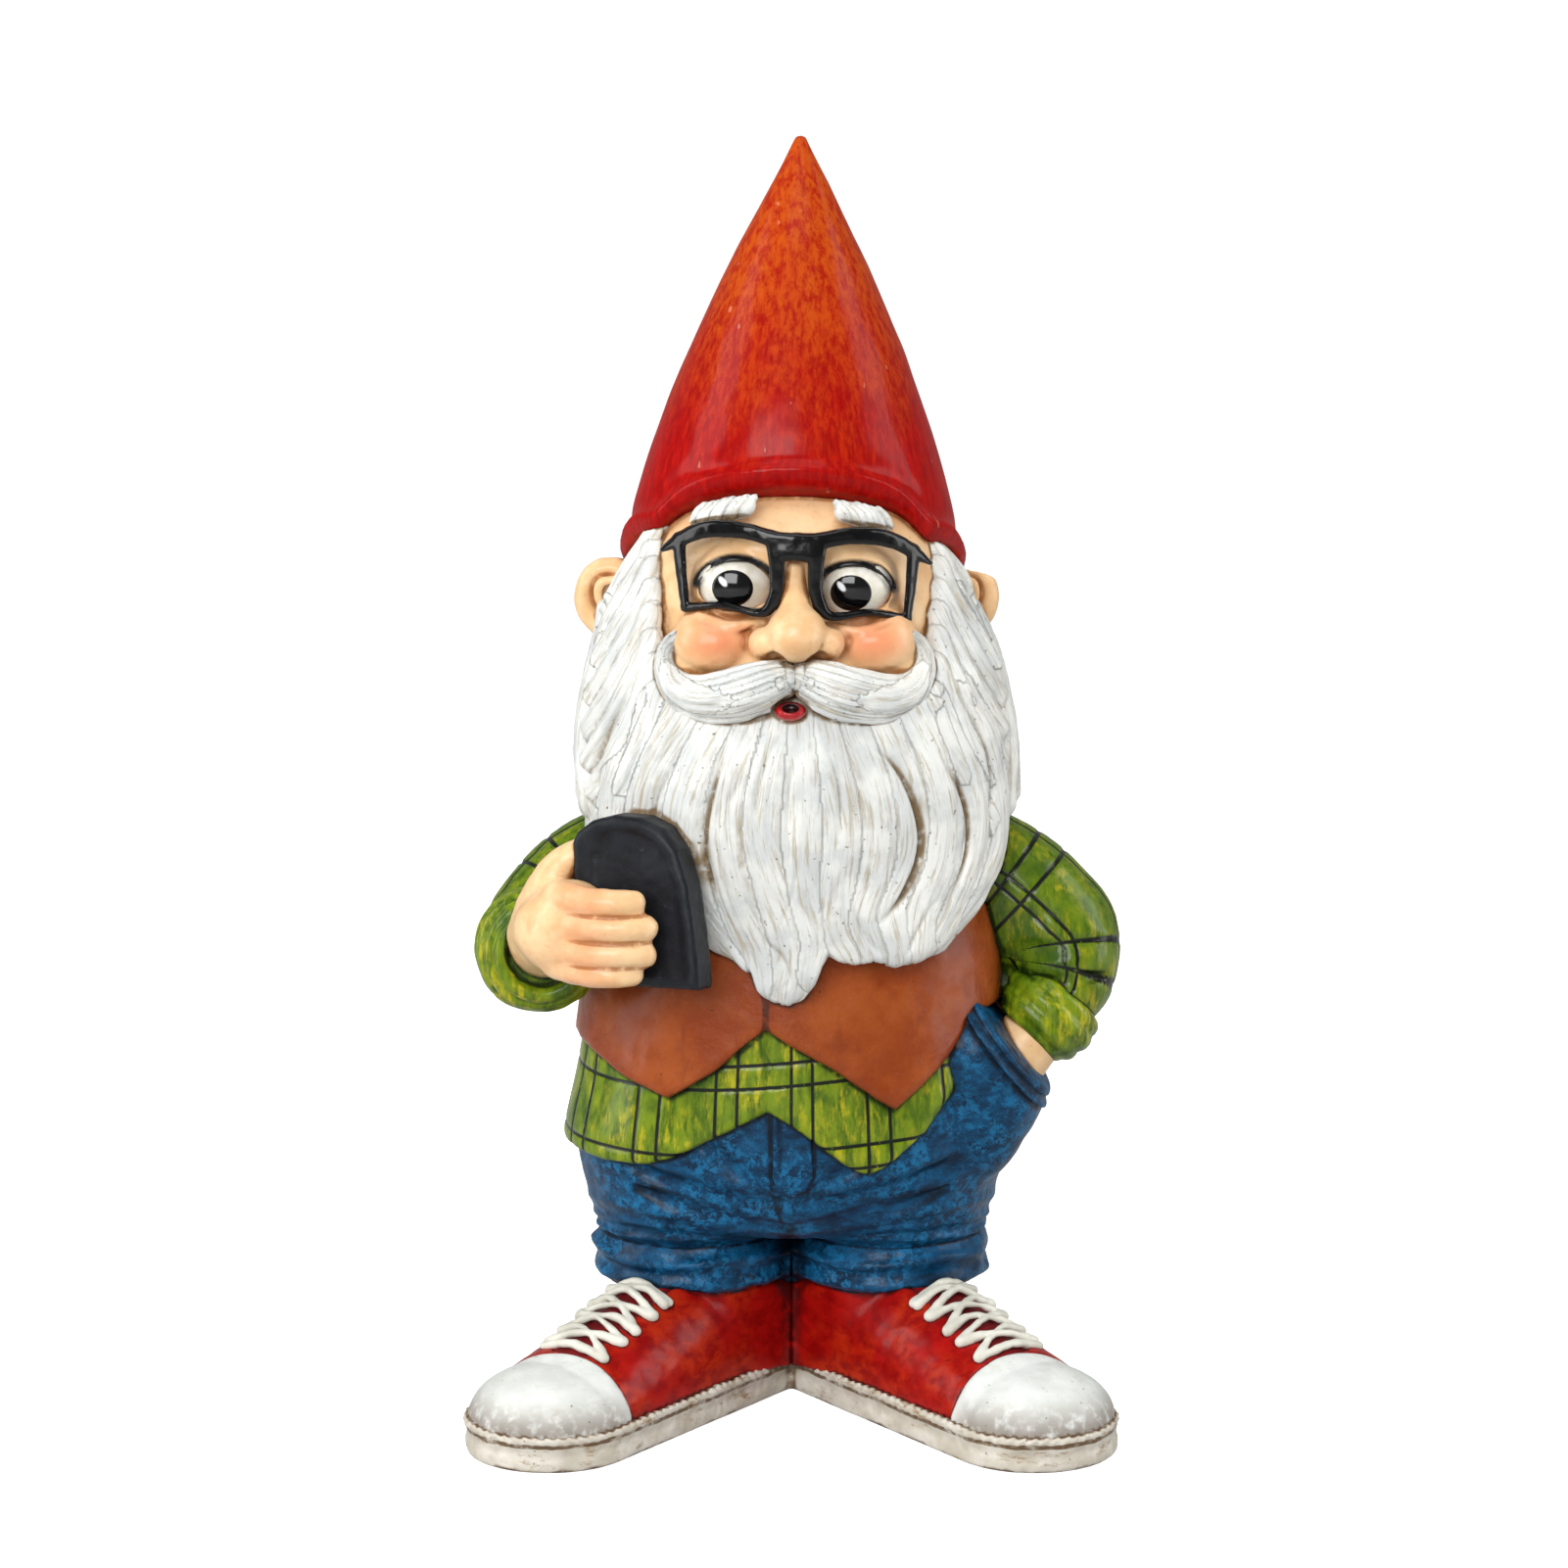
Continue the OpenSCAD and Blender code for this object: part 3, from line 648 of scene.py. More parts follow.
def vest_paint():
    p = Paint("vest paint")
    blots = p.noise(16, 5)
    fine = p.noise(2.2, 5, rough=0.7)
    streaks = p.noise(3.0, 4, stretch=(1, 1, 0.3), twist=0.6)
    colour = p.mix(p.ramp(blots, 0.35, 0.65), srgb(138, 56, 14), srgb(164, 80, 32))
    colour = p.mix(p.math("MULTIPLY", p.ramp(streaks, 0.55, 0.75), 0.35), colour, srgb(112, 44, 18))
    pits = p.ramp(p.noise(1.6, 2), 0.71, 0.76)
    colour = p.mix(p.math("MULTIPLY", pits, 0.7), colour, srgb(74, 32, 16))
    specks = p.ramp(p.noise(1.1, 2), 0.76, 0.79)
    colour = p.mix(p.math("MULTIPLY", specks, 0.5), colour, srgb(214, 176, 150))
    colour = wash_and_shade(p, colour, srgb(66, 28, 12), 0.2, 0.6, 0.88)
    rough = p.math("ADD", 0.16, p.math("MULTIPLY", p.ramp(blots, 0.3, 0.7), 0.22))
    normal = p.bump(fine, 0.34, p.bump(blots, 1.2))
    return p.finish(colour, rough, normal, coat=0.3, coat_rough=0.24, shine=0.1)


def check_lines(p, value, gap, repeat, width, start=0.0):
    """Pairs of lines across a coordinate in millimetres, as a 0 to 1 mask."""
    mask = None
    for shift in (0.0, gap):
        place = p.math("SUBTRACT", value, start + shift)
        away = p.math("PINGPONG", place, repeat / 2)
        line = p.ramp(away, width, width * 0.45)
        mask = line if mask is None else p.math("MAXIMUM", mask, line)
    return mask


def shirt_paint(name, checks, painted_shade=0.0):
    p = Paint(name)
    brushed = p.noise(2.8, 5, stretch=(1, 1, 0.3), rough=0.68, twist=0.3)
    blots = p.noise(13, 4)
    colour = p.mix(p.ramp(brushed, 0.34, 0.62), srgb(64, 92, 8), srgb(116, 138, 20))
    yellow = p.math("MULTIPLY", p.ramp(p.noise(2.2, 5, stretch=(1, 1, 0.28), rough=0.7), 0.46, 0.66),
                    p.ramp(blots, 0.4, 0.6))
    colour = p.mix(p.math("MULTIPLY", yellow, 0.9), colour, srgb(184, 176, 30))
    colour = p.mix(p.math("MULTIPLY", p.ramp(blots, 0.46, 0.3), 0.65), colour, srgb(46, 78, 10))
    # The sleeves are the same cloth painted darker: painted shade.
    colour = p.mix(painted_shade, colour, srgb(44, 78, 14))
    colour = wash_and_shade(p, colour, srgb(16, 32, 8), 0.16, 0.55, 0.92)
    if checks:
        flow = p.separate(p.attribute("weave", "Vector"))
        lines = p.math("MAXIMUM", check_lines(p, flow[0], 6.5, 23.0, 0.7),
                       check_lines(p, flow[1], 5.4, 21.0, 0.6))
        broken = p.ramp(p.noise(1.4, 3), 0.24, 0.36)
        colour = p.mix(p.math("MULTIPLY", lines, broken), colour, srgb(14, 20, 8))
    rough = p.math("ADD", 0.22, p.math("MULTIPLY", brushed, 0.25))
    coat = p.math("MULTIPLY", p.ramp(p.attribute("cavity"), 0.6, 0.1), 0.3)
    return p.finish(colour, rough, p.bump(brushed, 0.16), coat=coat, coat_rough=0.16, shine=0.12)


def denim_paint():
    p = Paint("denim paint")
    sponge = p.noise(2.3, 7, rough=0.82, twist=0.25)
    brushed = p.noise(3.2, 5, stretch=(0.35, 0.5, 1), rough=0.7)
    cloud = p.noise(14, 4)
    lit = p.math("MULTIPLY", p.ramp(sponge, 0.47, 0.57), p.ramp(cloud, 0.36, 0.56))
    colour = p.mix(p.ramp(brushed, 0.36, 0.66), srgb(4, 36, 62), srgb(10, 70, 108))
    colour = p.mix(p.math("MULTIPLY", lit, 0.8), colour, srgb(28, 112, 160))
    lint = p.ramp(p.noise(1.0, 5, rough=0.85, twist=0.5), 0.6, 0.68)
    colour = p.mix(p.math("MULTIPLY", lint, 0.5), colour, srgb(74, 156, 196))
    colour = wash_and_shade(p, colour, srgb(3, 12, 24), 0.16, 0.55, 0.94)
    rough = p.math("ADD", 0.26, p.math("MULTIPLY", sponge, 0.3))
    return p.finish(colour, rough, p.bump(sponge, 0.18), coat=0.15, coat_rough=0.22, shine=0.12)


def canvas_paint():
    p = Paint("canvas paint")
    cloud = p.noise(16, 5)
    brushed = p.noise(3.4, 5, rough=0.68, stretch=(0.6, 0.6, 1), twist=0.3)
    warm = p.math("MULTIPLY", p.ramp(cloud, 0.44, 0.64), p.ramp(brushed, 0.34, 0.62))
    colour = p.mix(p.ramp(brushed, 0.35, 0.65), srgb(136, 6, 6), srgb(168, 16, 10))
    colour = p.mix(p.math("MULTIPLY", warm, 0.7), colour, srgb(184, 50, 12))
    colour = wash_and_shade(p, colour, srgb(60, 6, 6), 0.16, 0.55, 0.88)
    rough = p.math("ADD", 0.24, p.math("MULTIPLY", brushed, 0.22))
    return p.finish(colour, rough, p.bump(brushed, 0.1), coat=0.2, coat_rough=0.18, shine=0.1)


def worn_white_paint(name, light, dark, wash, scuffs):
    """Pale paint with scuffs, pits and a brown wash that is partly painted shade in hollows and at joins."""
    p = Paint(name)
    blots = p.noise(8, 5)
    fine = p.noise(1.5, 4, rough=0.7)
    colour = p.mix(p.ramp(blots, 0.35, 0.65), srgb(*dark), srgb(*light))
    worn = p.math("MULTIPLY", p.ramp(p.noise(5, 6, rough=0.78, stretch=(0.5, 0.5, 1.6)), 0.54, 0.66), scuffs)
    colour = p.mix(worn, colour, srgb(*wash))
    pits = p.math("MULTIPLY", p.ramp(p.noise(1.5, 2), 0.7, 0.75), 0.7)
    colour = p.mix(pits, colour, srgb(110, 84, 52))
    colour = wash_and_shade(p, colour, srgb(96, 68, 36), 0.14, 0.5, 0.95)
    rough = p.math("ADD", 0.32, p.math("MULTIPLY", fine, 0.22))
    return p.finish(colour, rough, p.bump(fine, 0.14, p.bump(blots, 0.2)), coat=0.15, coat_rough=0.3)


def matte_paint(name, dark, light, rough, relief=0.14):
    p = Paint(name)
    fine = p.noise(1.8, 5, rough=0.7)
    blots = p.noise(9, 4)
    colour = p.mix(p.ramp(blots, 0.35, 0.65), srgb(*dark), srgb(*light))
    colour = p.mix(p.math("MULTIPLY", p.ramp(fine, 0.62, 0.74), 0.35), colour,
                   srgb(*[min(255, c + 45) for c in light]))
    return p.finish(colour, p.math("ADD", rough, p.math("MULTIPLY", fine, 0.15)),
                    p.bump(fine, relief, p.bump(blots, 0.3)), coat=0.08, coat_rough=0.4)


# ---------- forms that several pieces share ----------

# Stations: height, middle x, middle y, half width, half depth
HIPS = [(43, 0, 2, 47, 28), (50, 0, 1, 49, 32), (60, 0, 0, 51, 35),
        (72, 0, 0, 51, 35.5), (84, 0, 0, 48.5, 35), (96, 0, 0, 46, 34)]
CHEST = [(58, 0, 0, 53.5, 38.5), (66, 0, 0, 54, 38.5), (82, 0, 0, 50.5, 37.5), (98, 0, 0, 48, 36),
         (114, 0, 1, 46.5, 35), (128, 0, 2, 43, 32), (137, 0, 3, 35, 27), (143, 0, 3, 22, 19)]
WHISKERS = [(206, 0.5, 2, 38.5, 36), (192, -0.5, 0, 43.5, 40), (177, 1, -2, 48, 43),
            (162, 1, -4, 51, 44), (148, 1.5, -5, 51.2, 43), (136, 1.5, -7, 50.5, 39),
            (126, 4, -10, 45, 35), (117, 7, -13, 38, 31), (111, 6, -17, 33, 27),
            (105, 2, -20, 24, 22), (101, 0, -24, 14, 15)]


def hip_groove(rows):
    """A groove over the front of the hips: rows of x, z, radius."""
    return tube([in_front(HIPS, x, z, -0.4 * r) + [r] for x, z, r in rows])


NAPE = [(212, 0, 4, 34, 32), (198, 0, 4, 41, 37), (184, 0, 4, 44, 40),
        (168, 0, 4, 46, 40), (152, 0, 4, 43, 36), (142, 0, 6, 34, 28)]
RIGHT_ARM = [(-38, 6, 132, 12), (-50, 6, 124, 13.2), (-58.5, 0, 114, 13.6), (-58.6, -9, 112, 12), (-58.4, -16, 112.5, 10.5)]
LEFT_ARM = [(39, 5, 133, 12), (52, 4, 124.5, 13.5), (63.5, 2, 113, 13.8), (65, -1, 103.5, 12.2), (62, -3.6, 96.5, 9.4)]
VEST_T = 2.5
PARTING_Y = 8

skull_ball = egg((FACE_X, -1, 188), (38, 39, 44))
jaw_ball = egg((FACE_X, -8, 176), (32, 34, 26))
brow_ball = egg((FACE_X, -8, 207), (31, 29.5, 15))


def skull_distance(x, y, z):
    head = smin(skull_ball.dist(x, y, z), jaw_ball.dist(x, y, z), 3)
    return smin(head, brow_ball.dist(x, y, z), 3)


skull = Form(skull_distance)


def brim_height(y, z, x=0.0):
    """Height above the hat's brim, a tilted plane that sags on the figure's left and over the temples."""
    sag = BRIM_SAG * np.maximum(x, 0) ** 2
    sag = sag + 4.0 * np.exp(-((np.abs(x) - 32) / 5) ** 2) * np.clip(-y / 20, 0, 1)
    return (z - BRIM_Z + y * math.tan(TILT) + sag) * math.cos(TILT)


under_brim = Form(lambda x, y, z: brim_height(y, z, x) - SEAT)


def around(stations, angle, z, sink):
    """A point sink millimetres inside a loft. Angle 0 is the front, 90 the figure's left."""
    rows = np.array(sorted(stations))
    cx, cy, rx, ry = (np.interp(z, rows[:, 0], rows[:, k]) for k in (1, 2, 3, 4))
    a = math.radians(angle)
    return [cx + (rx - sink) * math.sin(a), cy - (ry - sink) * math.cos(a), z]


def in_front(stations, x, z, sink):
    """A point on the front of a loft, given where it is seen from the front."""
    rows = np.array(sorted(stations))
    cx, rx = (np.interp(z, rows[:, 0], rows[:, k]) for k in (1, 3))
    return around(stations, math.degrees(math.asin(np.clip((x - cx) / rx, -0.98, 0.98))), z, sink)


def lock_curve(stations, rows, proud=2.2, wide=1.0):
    """A lock's curve from rows of x, z, radius seen from the front, proud of the loft."""
    return [in_front(stations, x, z, r * wide - proud) + [r * wide] for x, z, r in rows]


# ---------- hat ----------

def hat_distance(x, y, z):
    t = np.clip((TOP - z) / (TOP - BRIM_Z), 0, 1.5)
    h = brim_height(y, z, x)
    radius = BRIM_R * (1.45 - 0.45 * t) * t + 1.0 * np.exp(-14 * t)
    rolled = 0.9 * np.exp(-((h - 3.2) / 1.3) ** 2) - 0.5 * np.exp(-((h - 6.8) / 2.2) ** 2)
    tucked = 1.1 * np.exp(-(h / 1.4) ** 2)
    lean = 2.2 * (1 - t)
    side = (np.sqrt((x - lean) ** 2 + y * y) - radius - rolled + tucked) * 0.9
    return smax(smax(side, -h, 1.6), z - TOP + 0.1 + 0 * x, 0.8)


def build_hat():
    reach = BRIM_R + 4
    clay = Clay((-reach, -reach, HAT.lo[2] - 4), (reach, reach, TOP + 3), 0.75)
    clay.add(Form(hat_distance))

    def dents(points, normals, marks):
        return 0.16 * lattice_noise(points / (7, 7, 12), 3) + 0.05 * lattice_noise(points / (2, 2, 6), 4)

    sculpt("hat", clay, hat_paint(), dents)


# ---------- face ----------

LID_W, LID_UP, LID_DOWN = 8.4, 7.0, 4.2
EYE_DROP = {RIGHT: 0.5, LEFT: 1.6}     # the face is a little lower on the figure's left


def almond(s):
    """The opening between the eyelids, run along Y."""
    centre = FACE_X + s * (EYE_X - 0.1)
    level = EYE_Z - 0.6 - EYE_DROP[s]

    def dist(x, y, z):
        u = (x - centre) / LID_W
        height = np.where(z > level, LID_UP, LID_DOWN)
        k = np.sqrt(u * u + ((z - level) / height) ** 2)
        return (k - 1) * 4.5 + 0 * y

    return Form(dist)


def add_ear(clay, s):
    x = FACE_X + (39.4 if s == LEFT else -43.2)
    clay.add(egg((x, 5.5, 192), (8.8, 3.8, 9.6)), 2)
    clay.add(egg((x - s * 2.4, 5.0, 184), (6.2, 3.8, 7)), 2)
    clay.cut(egg((x + s * 0.6, 1.2, 192.6), (6.4, 3.6, 6.8)), 1.0)
    clay.cut(egg((x - s * 2.2, 1.4, 186.4), (4, 3.2, 4.6)), 1.0)
    ridge = [(x - s * 3, 2.6, 196.4, 0.9), (x + s * 2.2, 2.4, 195.8, 1.1),
             (x + s * 2.8, 2.6, 191.6, 1.0), (x - s * 0.6, 3.0, 188.2, 0.9)]
    clay.add(tube(ridge), 1.0)


def add_eye_region(clay, s):
    eye = (FACE_X + s * EYE_X, EYE_Y, EYE_Z)
    low = EYE_Z - EYE_DROP[s]
    clay.cut(egg((eye[0], eye[1] - 9.5, low), (10.5, 3.2, 8.2)), 3)
    lids = egg(eye, [EYE_R + 1.2] * 3)
    hollow = egg(eye, [EYE_R + 0.1] * 3)
    opening = almond(s)
    shell = Form(lambda x, y, z: smax(smax(lids.dist(x, y, z), -hollow.dist(x, y, z), 0.3),
                                      -opening.dist(x, y, z), 0.5), lids.lo, lids.hi)
    socket = Form(lambda x, y, z: smax(hollow.dist(x, y, z), 0 * x + y, 0.2), hollow.lo, hollow.hi)
    ball_front = Form(lambda x, y, z: smax(egg(eye, [EYE_R + 2.4] * 3).dist(x, y, z),
                                           opening.dist(x, y, z), 0.4), lids.lo - 2, lids.hi + 2)
    clay.cut(ball_front, 0.6)
    clay.cut(socket, 0)
    clay.add(shell, 0.8)
    fold = [(eye[0] - s * 8.5, -36.4, low + 2.5, 0.5), (eye[0] - s * 2, -39.3, low + 7.6, 0.7),
            (eye[0] + s * 5, -36.7, low + 6.8, 0.7), (eye[0] + s * 9, -33.2, low + 1.5, 0.5)]
    clay.cut(tube(fold), 0.8)
    bag = [(eye[0] - s * 6, -38.8, low - 6.6, 0.9), (eye[0] + s * 1, -39.6, low - 8, 1.2),
           (eye[0] + s * 8, -36.4, low - 6.2, 0.9)]
    clay.add(tube(bag), 1.4)


def build_head():
    clay = Clay((-54, -56, 142), (56, 40, 224), 0.52)
    clay.add(skull)
    for s in (RIGHT, LEFT):
        clay.add(egg((FACE_X + s * 20.5, -29, 181.5), (9.5, 8.6, 7)), 2)
        clay.add(egg((FACE_X + s * 18.3, -32.5, 187.2), (9.8, 9.6, 8.2)), 1.4)
        add_ear(clay, s)
        add_eye_region(clay, s)
    clay.add(tube([(FACE_X, -37.5, 209, 2.2), (FACE_X, -39.8, 202, 2.6), (FACE_X, -43.8, 194.5, 3.8)]), 2.0)
    clay.add(egg((FACE_X + 0.4, -45.6, 190.6), (6.9, 7.6, 6.5)), 1.6)
    for s in (RIGHT, LEFT):
        clay.add(egg((FACE_X + 0.4 + s * 7.0, -42.2, 187.9), (4.0, 5.2, 3.8)), 2.0)
        clay.cut(egg((FACE_X + 0.4 + s * 4.7, -47.6, 185.2), (2.3, 3.2, 1.7)), 0.7)
        clay.cut(tube([(FACE_X + s * 5.4, -49.4, 190, 0.1), (FACE_X + s * 5.8, -48.2, 188, 0.4),
                       (FACE_X + s * 5.4, -48.6, 186, 0.3)]), 0.8)
        clay.cut(tube([(FACE_X + s * 5.4, -38.4, 213, 0.4), (FACE_X + s * 6.4, -37.4, 217, 0.5)]), 0.8)
        clay.cut(tube([(FACE_X + s * 11.6, -41, 191.5, 0.4), (FACE_X + s * 11.7, -42.5, 186, 0.7)]), 1.0)
    clay.keep(under_brim, 0.3)

    def marks_for(points, normals):
        x, y, z = points.T
        front = np.clip((-y - 20) / 8, 0, 1)
        blush = liner = 0
        for s in (RIGHT, LEFT):
            away = np.hypot((x - FACE_X - s * 18) / 8.2, (z - 188.4) / 5.6)
            blush = blush + np.clip(1.3 - away, 0, 1)
            u = (x - FACE_X - s * (EYE_X - 0.1)) / LID_W
            up = z - EYE_Z + 0.6 + EYE_DROP[s]
            edge = np.sqrt(u * u + (up / LID_UP) ** 2)
            wide = np.clip(2.1 - np.abs(edge - 1.1) / 0.08, 0, 1)
            liner = liner + wide * np.clip(up / 0.8, 0, 1) * front
        tip = np.clip(1 - np.hypot(x - FACE_X, z - 190) / 7, 0, 1) * 0.15
        return {"blush": np.clip(blush, 0, 1) * front + tip * front, "liner": np.clip(liner, 0, 1)}

    def pores(points, normals, marks):
        return 0.09 * lattice_noise(points / 2.4, 5) + 0.12 * lattice_noise(points / 6.5, 6)

    sculpt("head", clay, SKIN_PAINT, pores, marks_for)


def build_eyes():
    white = gloss_paint("eye white paint", (224, 217, 198), (244, 241, 231), 0.2, 0.3)
    black = pupil_paint()
    for s, side in ((RIGHT, "right"), (LEFT, "left")):
        centre = np.array([FACE_X + s * EYE_X, EYE_Y, EYE_Z])
        ball = egg(centre, [EYE_R] * 3)
        clay = Clay(centre - EYE_R - 2, centre + EYE_R + 2, 0.45)
        clay.add(ball)
        sculpt(side + "_eyeball", clay, white)

        at = centre + (-0.7, 0, 0.3 - EYE_DROP[s])
        clay = Clay(at - (7, EYE_R + 2, 7), at + (7, -4, 7), 0.25)
        disc = Form(lambda x, y, z: (np.sqrt(((x - at[0]) / 4.7) ** 2 + ((z - at[2]) / 4.2) ** 2) - 1) * 4.2 + 0 * y)
        clay.add(egg(centre, [EYE_R + 0.22] * 3)).cut(egg(centre, [EYE_R - 1.2] * 3)).keep(disc, 0.3)

        def glint(points, normals):
            tilt = (points[:, 0] - at[0] + 2.2) + 0.5 * (points[:, 2] - at[2] - 1.6)
            away = np.hypot(tilt / 0.8, (points[:, 2] - at[2] - 1.6) / 1.1)
            return {"glint": np.clip((1.15 - away) * 3, 0, 1)}

        sculpt(side + "_pupil", clay, black, None, glint)


def stroke_distance(x, z, rows):
    """Distance to a stroke drawn in X and Z: rows of x, z, half width."""
    path = catmull([(a, 0, b, r) for a, b, r in rows], 16)
    near = np.inf
    for a, b in zip(path[:-1], path[1:]):
        step, length = b - a, (b[0] - a[0]) ** 2 + (b[2] - a[2]) ** 2 + 1e-9
        h = np.clip(((x - a[0]) * step[0] + (z - a[2]) * step[2]) / length, 0, 1)
        gap = np.hypot(x - a[0] - step[0] * h, z - a[2] - step[2] * h)
        near = np.minimum(near, gap - a[3] - step[3] * h)
    return near


def build_glasses():
    clay = Clay((FACE_X - 34, -50, 187), (FACE_X + 34, -18, 219), 0.32)
    brow = [(0, 211.6, 2.0), (5, 212.0, 1.8), (11, 213.2, 1.85), (17.5, 213.2, 1.9),
            (22.5, 211.9, 1.75), (26.3, 209.6, 1.5), (29.2, 207.6, 0.9), (30.6, 206.6, 0.5)]
    outer = [(26.6, 209.6, 1.5), (26.3, 204, 1.35), (25.6, 197.5, 1.15), (25.3, 194.3, 1.0)]
    lower = [(25.4, 194.2, 0.95), (17, 195.9, 0.8), (10, 195.0, 0.9), (7.0, 195.4, 1.15), (5.2, 197.6, 1.5)]
    inner = [(5.2, 197.6, 1.5), (4.4, 201, 1.6), (4.3, 206, 1.8), (5.0, 211, 1.9)]
    bridge = [(-3.2, 210.2, 3.0), (3.2, 210.2, 3.0)]

    def dist(x, y, z):
        u = x - FACE_X - 0.3
        v = z + 0.05 * (u + 12)
        flat = stroke_distance(u, v, bridge)
        for s in (RIGHT, LEFT):
            for stroke in (brow, outer, lower, inner):
                flat = smin(flat, stroke_distance(u * s, v, stroke), 0.5)
        middle = -42.8 + 0.0152 * u * u + 0.09 * np.maximum(z - 208, 0)
        return smax(flat, np.abs(y - middle) - 1.9, 1.3)

    clay.add(Form(dist))
    black = gloss_paint("glasses paint", (4, 4, 5), (9, 9, 11), 0.14, 0.3, 3.0, 0.14)

    def uneven(points, normals, marks):
        return 0.09 * lattice_noise(points / 2.2, 8)

    sculpt("glasses", clay, black, uneven)


# ---------- hair ----------

def hairy(node, clay, locks, depth=0.22, seed=0):
    """Meshes clay that carries locks, with combed strands along them."""
    def marks_for(points, normals):
        return {"flow": locks.flow(points)}

    def combed(points, normals, marks):
        return strands(marks["flow"], depth=depth, seed=seed) + 0.1 * lattice_noise(points / 3.0, seed + 7)

    sculpt(node, clay, WHISKER_PAINT, combed, marks_for)


def build_eyebrows():
    for s, side, count, drop in ((RIGHT, "right", 8, 0.2), (LEFT, "left", 7, 1.5)):
        centre_x = FACE_X + s * 15
        clay = Clay((centre_x - 11, -44, 207), (centre_x + 11, -24, 226), 0.33)
        curves = []
        for i in range(count):
            start = 9.6 + 1.6 * i
            rise = 217.9 - drop - 0.34 * i
            rows = [(start - 0.4, rise + 2.6, 0.9), (start + 1.3, rise + 0.8, 1.1), (start + 2.4, rise - 1.2, 0.8)]
            curves.append([(FACE_X + s * x, -37.3 + 0.013 * x * x, z, r) for x, z, r in rows])
        core = [(FACE_X + s * 11.2, -35.7, 218.4 - drop, 2.5), (FACE_X + s * 15.6, -34.2, 217.2 - drop, 2.6),
                (FACE_X + s * (7.4 + 1.65 * count), -31.6, 215.6 - drop, 2.2)]
        clay.add(tube(core))
        locks = Locks(curves)
        locks.add_to(clay, 0.6)
        clay.keep(Form(lambda x, y, z: -(skull_distance(x, y, z) + 1.2)), 0.3)
        clay.keep(Form(lambda x, y, z: brim_height(y, z) - 1.0 + 0 * x), 0.4)
        hairy(side + "_eyebrow", clay, locks, 0.24, seed=40 + s)


def moustache_curves(s):
    """Strands that fan from under the nose, fill a lobe and curl up at its end."""
    spine = catmull([(2.6, -45.5, 180.2, 4.6), (9.5, -46, 177.8, 6.3), (18.5, -42.5, 175.4, 5.7),
                     (26, -36.8, 176.6, 4.2), (29.2, -33.6, 181.4, 2.7), (28.8, -33.8, 185.8, 2.1),
                     (26.3, -35.4, 188.6, 1.6)], 24)
    way = np.gradient(spine[:, :3], axis=0)
    up = np.stack([-way[:, 2], np.zeros(len(way)), way[:, 0]], 1)
    up = up / np.linalg.norm(up, axis=1, keepdims=True)
    along = np.linspace(0, 1, len(spine))
    curves = [[(FACE_X + s * x, y, z, r * 0.86) for x, y, z, r in spine]]
    for i in range(9):
        f = -0.95 + 0.24 * i - 0.32 * (along - 0.4)
        f = np.clip(f, -1, 1)
        r = spine[:, 3]
        points = spine[:, :3] + up * (f * r * 0.78)[:, None]
        points[:, 1] -= np.sqrt(1 - 0.82 * f * f) * r * 0.62
        thick = np.clip(r * 0.3, 0.55, 1.75)
        curves.append([(FACE_X + s * x, y, z, t) for (x, y, z), t in zip(points, thick)])
    return [curve[::3] for curve in curves]


def build_moustache():
    clay = Clay((FACE_X - 36, -56, 165), (FACE_X + 36, -26, 194), 0.36)
    curves = moustache_curves(RIGHT) + moustache_curves(LEFT)
    locks = Locks(curves)
    locks.add_to(clay, 0.35)
    clay.cut(egg((FACE_X - 1, -48, 173.6), (3.9, 6, 2.8)), 0.8)
    hairy("moustache", clay, locks, 0.34, seed=21)


FRONT_LOCKS = [
    [(-34, 172, 5), (-41, 158, 6), (-43, 146, 6), (-41, 134, 5)],
    [(-25, 170, 5), (-32, 158, 6), (-34.5, 146, 6), (-33, 132, 5)],
    [(-17, 169, 5), (-23.5, 156, 5.5), (-25.5, 144, 6), (-23, 130, 5.5), (-17, 119, 4.5), (-12, 113, 3)],
    [(-10, 168.5, 4.6), (-14.5, 156, 5.2), (-15.5, 144, 5.6), (-13, 130, 5.6), (-9, 118, 5.4), (-7, 110, 4)],
    [(-3.5, 168, 4.4), (-6, 156, 4.8), (-7, 145, 5.2), (-4, 132, 5.6), (-1, 119, 5.8), (-2, 109, 5)],
    [(2, 168, 4.4), (2.5, 156, 5), (2, 145, 5.4), (2.5, 132, 5.4), (5, 121, 4.6), (4, 112.5, 3.8)],
    [(8, 168, 4.4), (10.5, 156, 5), (12, 145, 5.2), (10.5, 133, 5.2), (10, 123, 4.6), (13, 116.5, 3.2)],
    [(14, 168.5, 4.4), (18.5, 157, 5), (20.5, 146, 5.2), (19.5, 135, 5.2), (16.5, 125, 4.8), (19, 116.5, 3.6)],
    [(21, 169, 4.4), (25.5, 158, 4.8), (27.5, 147, 4.6), (26.5, 137, 4.4), (22.5, 127, 4.4), (24.5, 117, 3.8)],
    [(28, 170, 4.8), (33.5, 158, 5.2), (36, 147, 5.2), (35, 136, 5.2), (31, 126, 4.8), (30, 118, 3.6)],
    [(34, 172, 4.8), (40.5, 160, 5.2), (43.5, 148, 5.2), (42.5, 137, 5), (38, 127, 4.8), (35, 121, 3.6)],
    [(40, 174, 4.8), (46, 162, 5), (48.5, 149, 5), (48.5, 138, 4.6), (44.5, 129, 4.4), (40, 124, 3.4)],
]
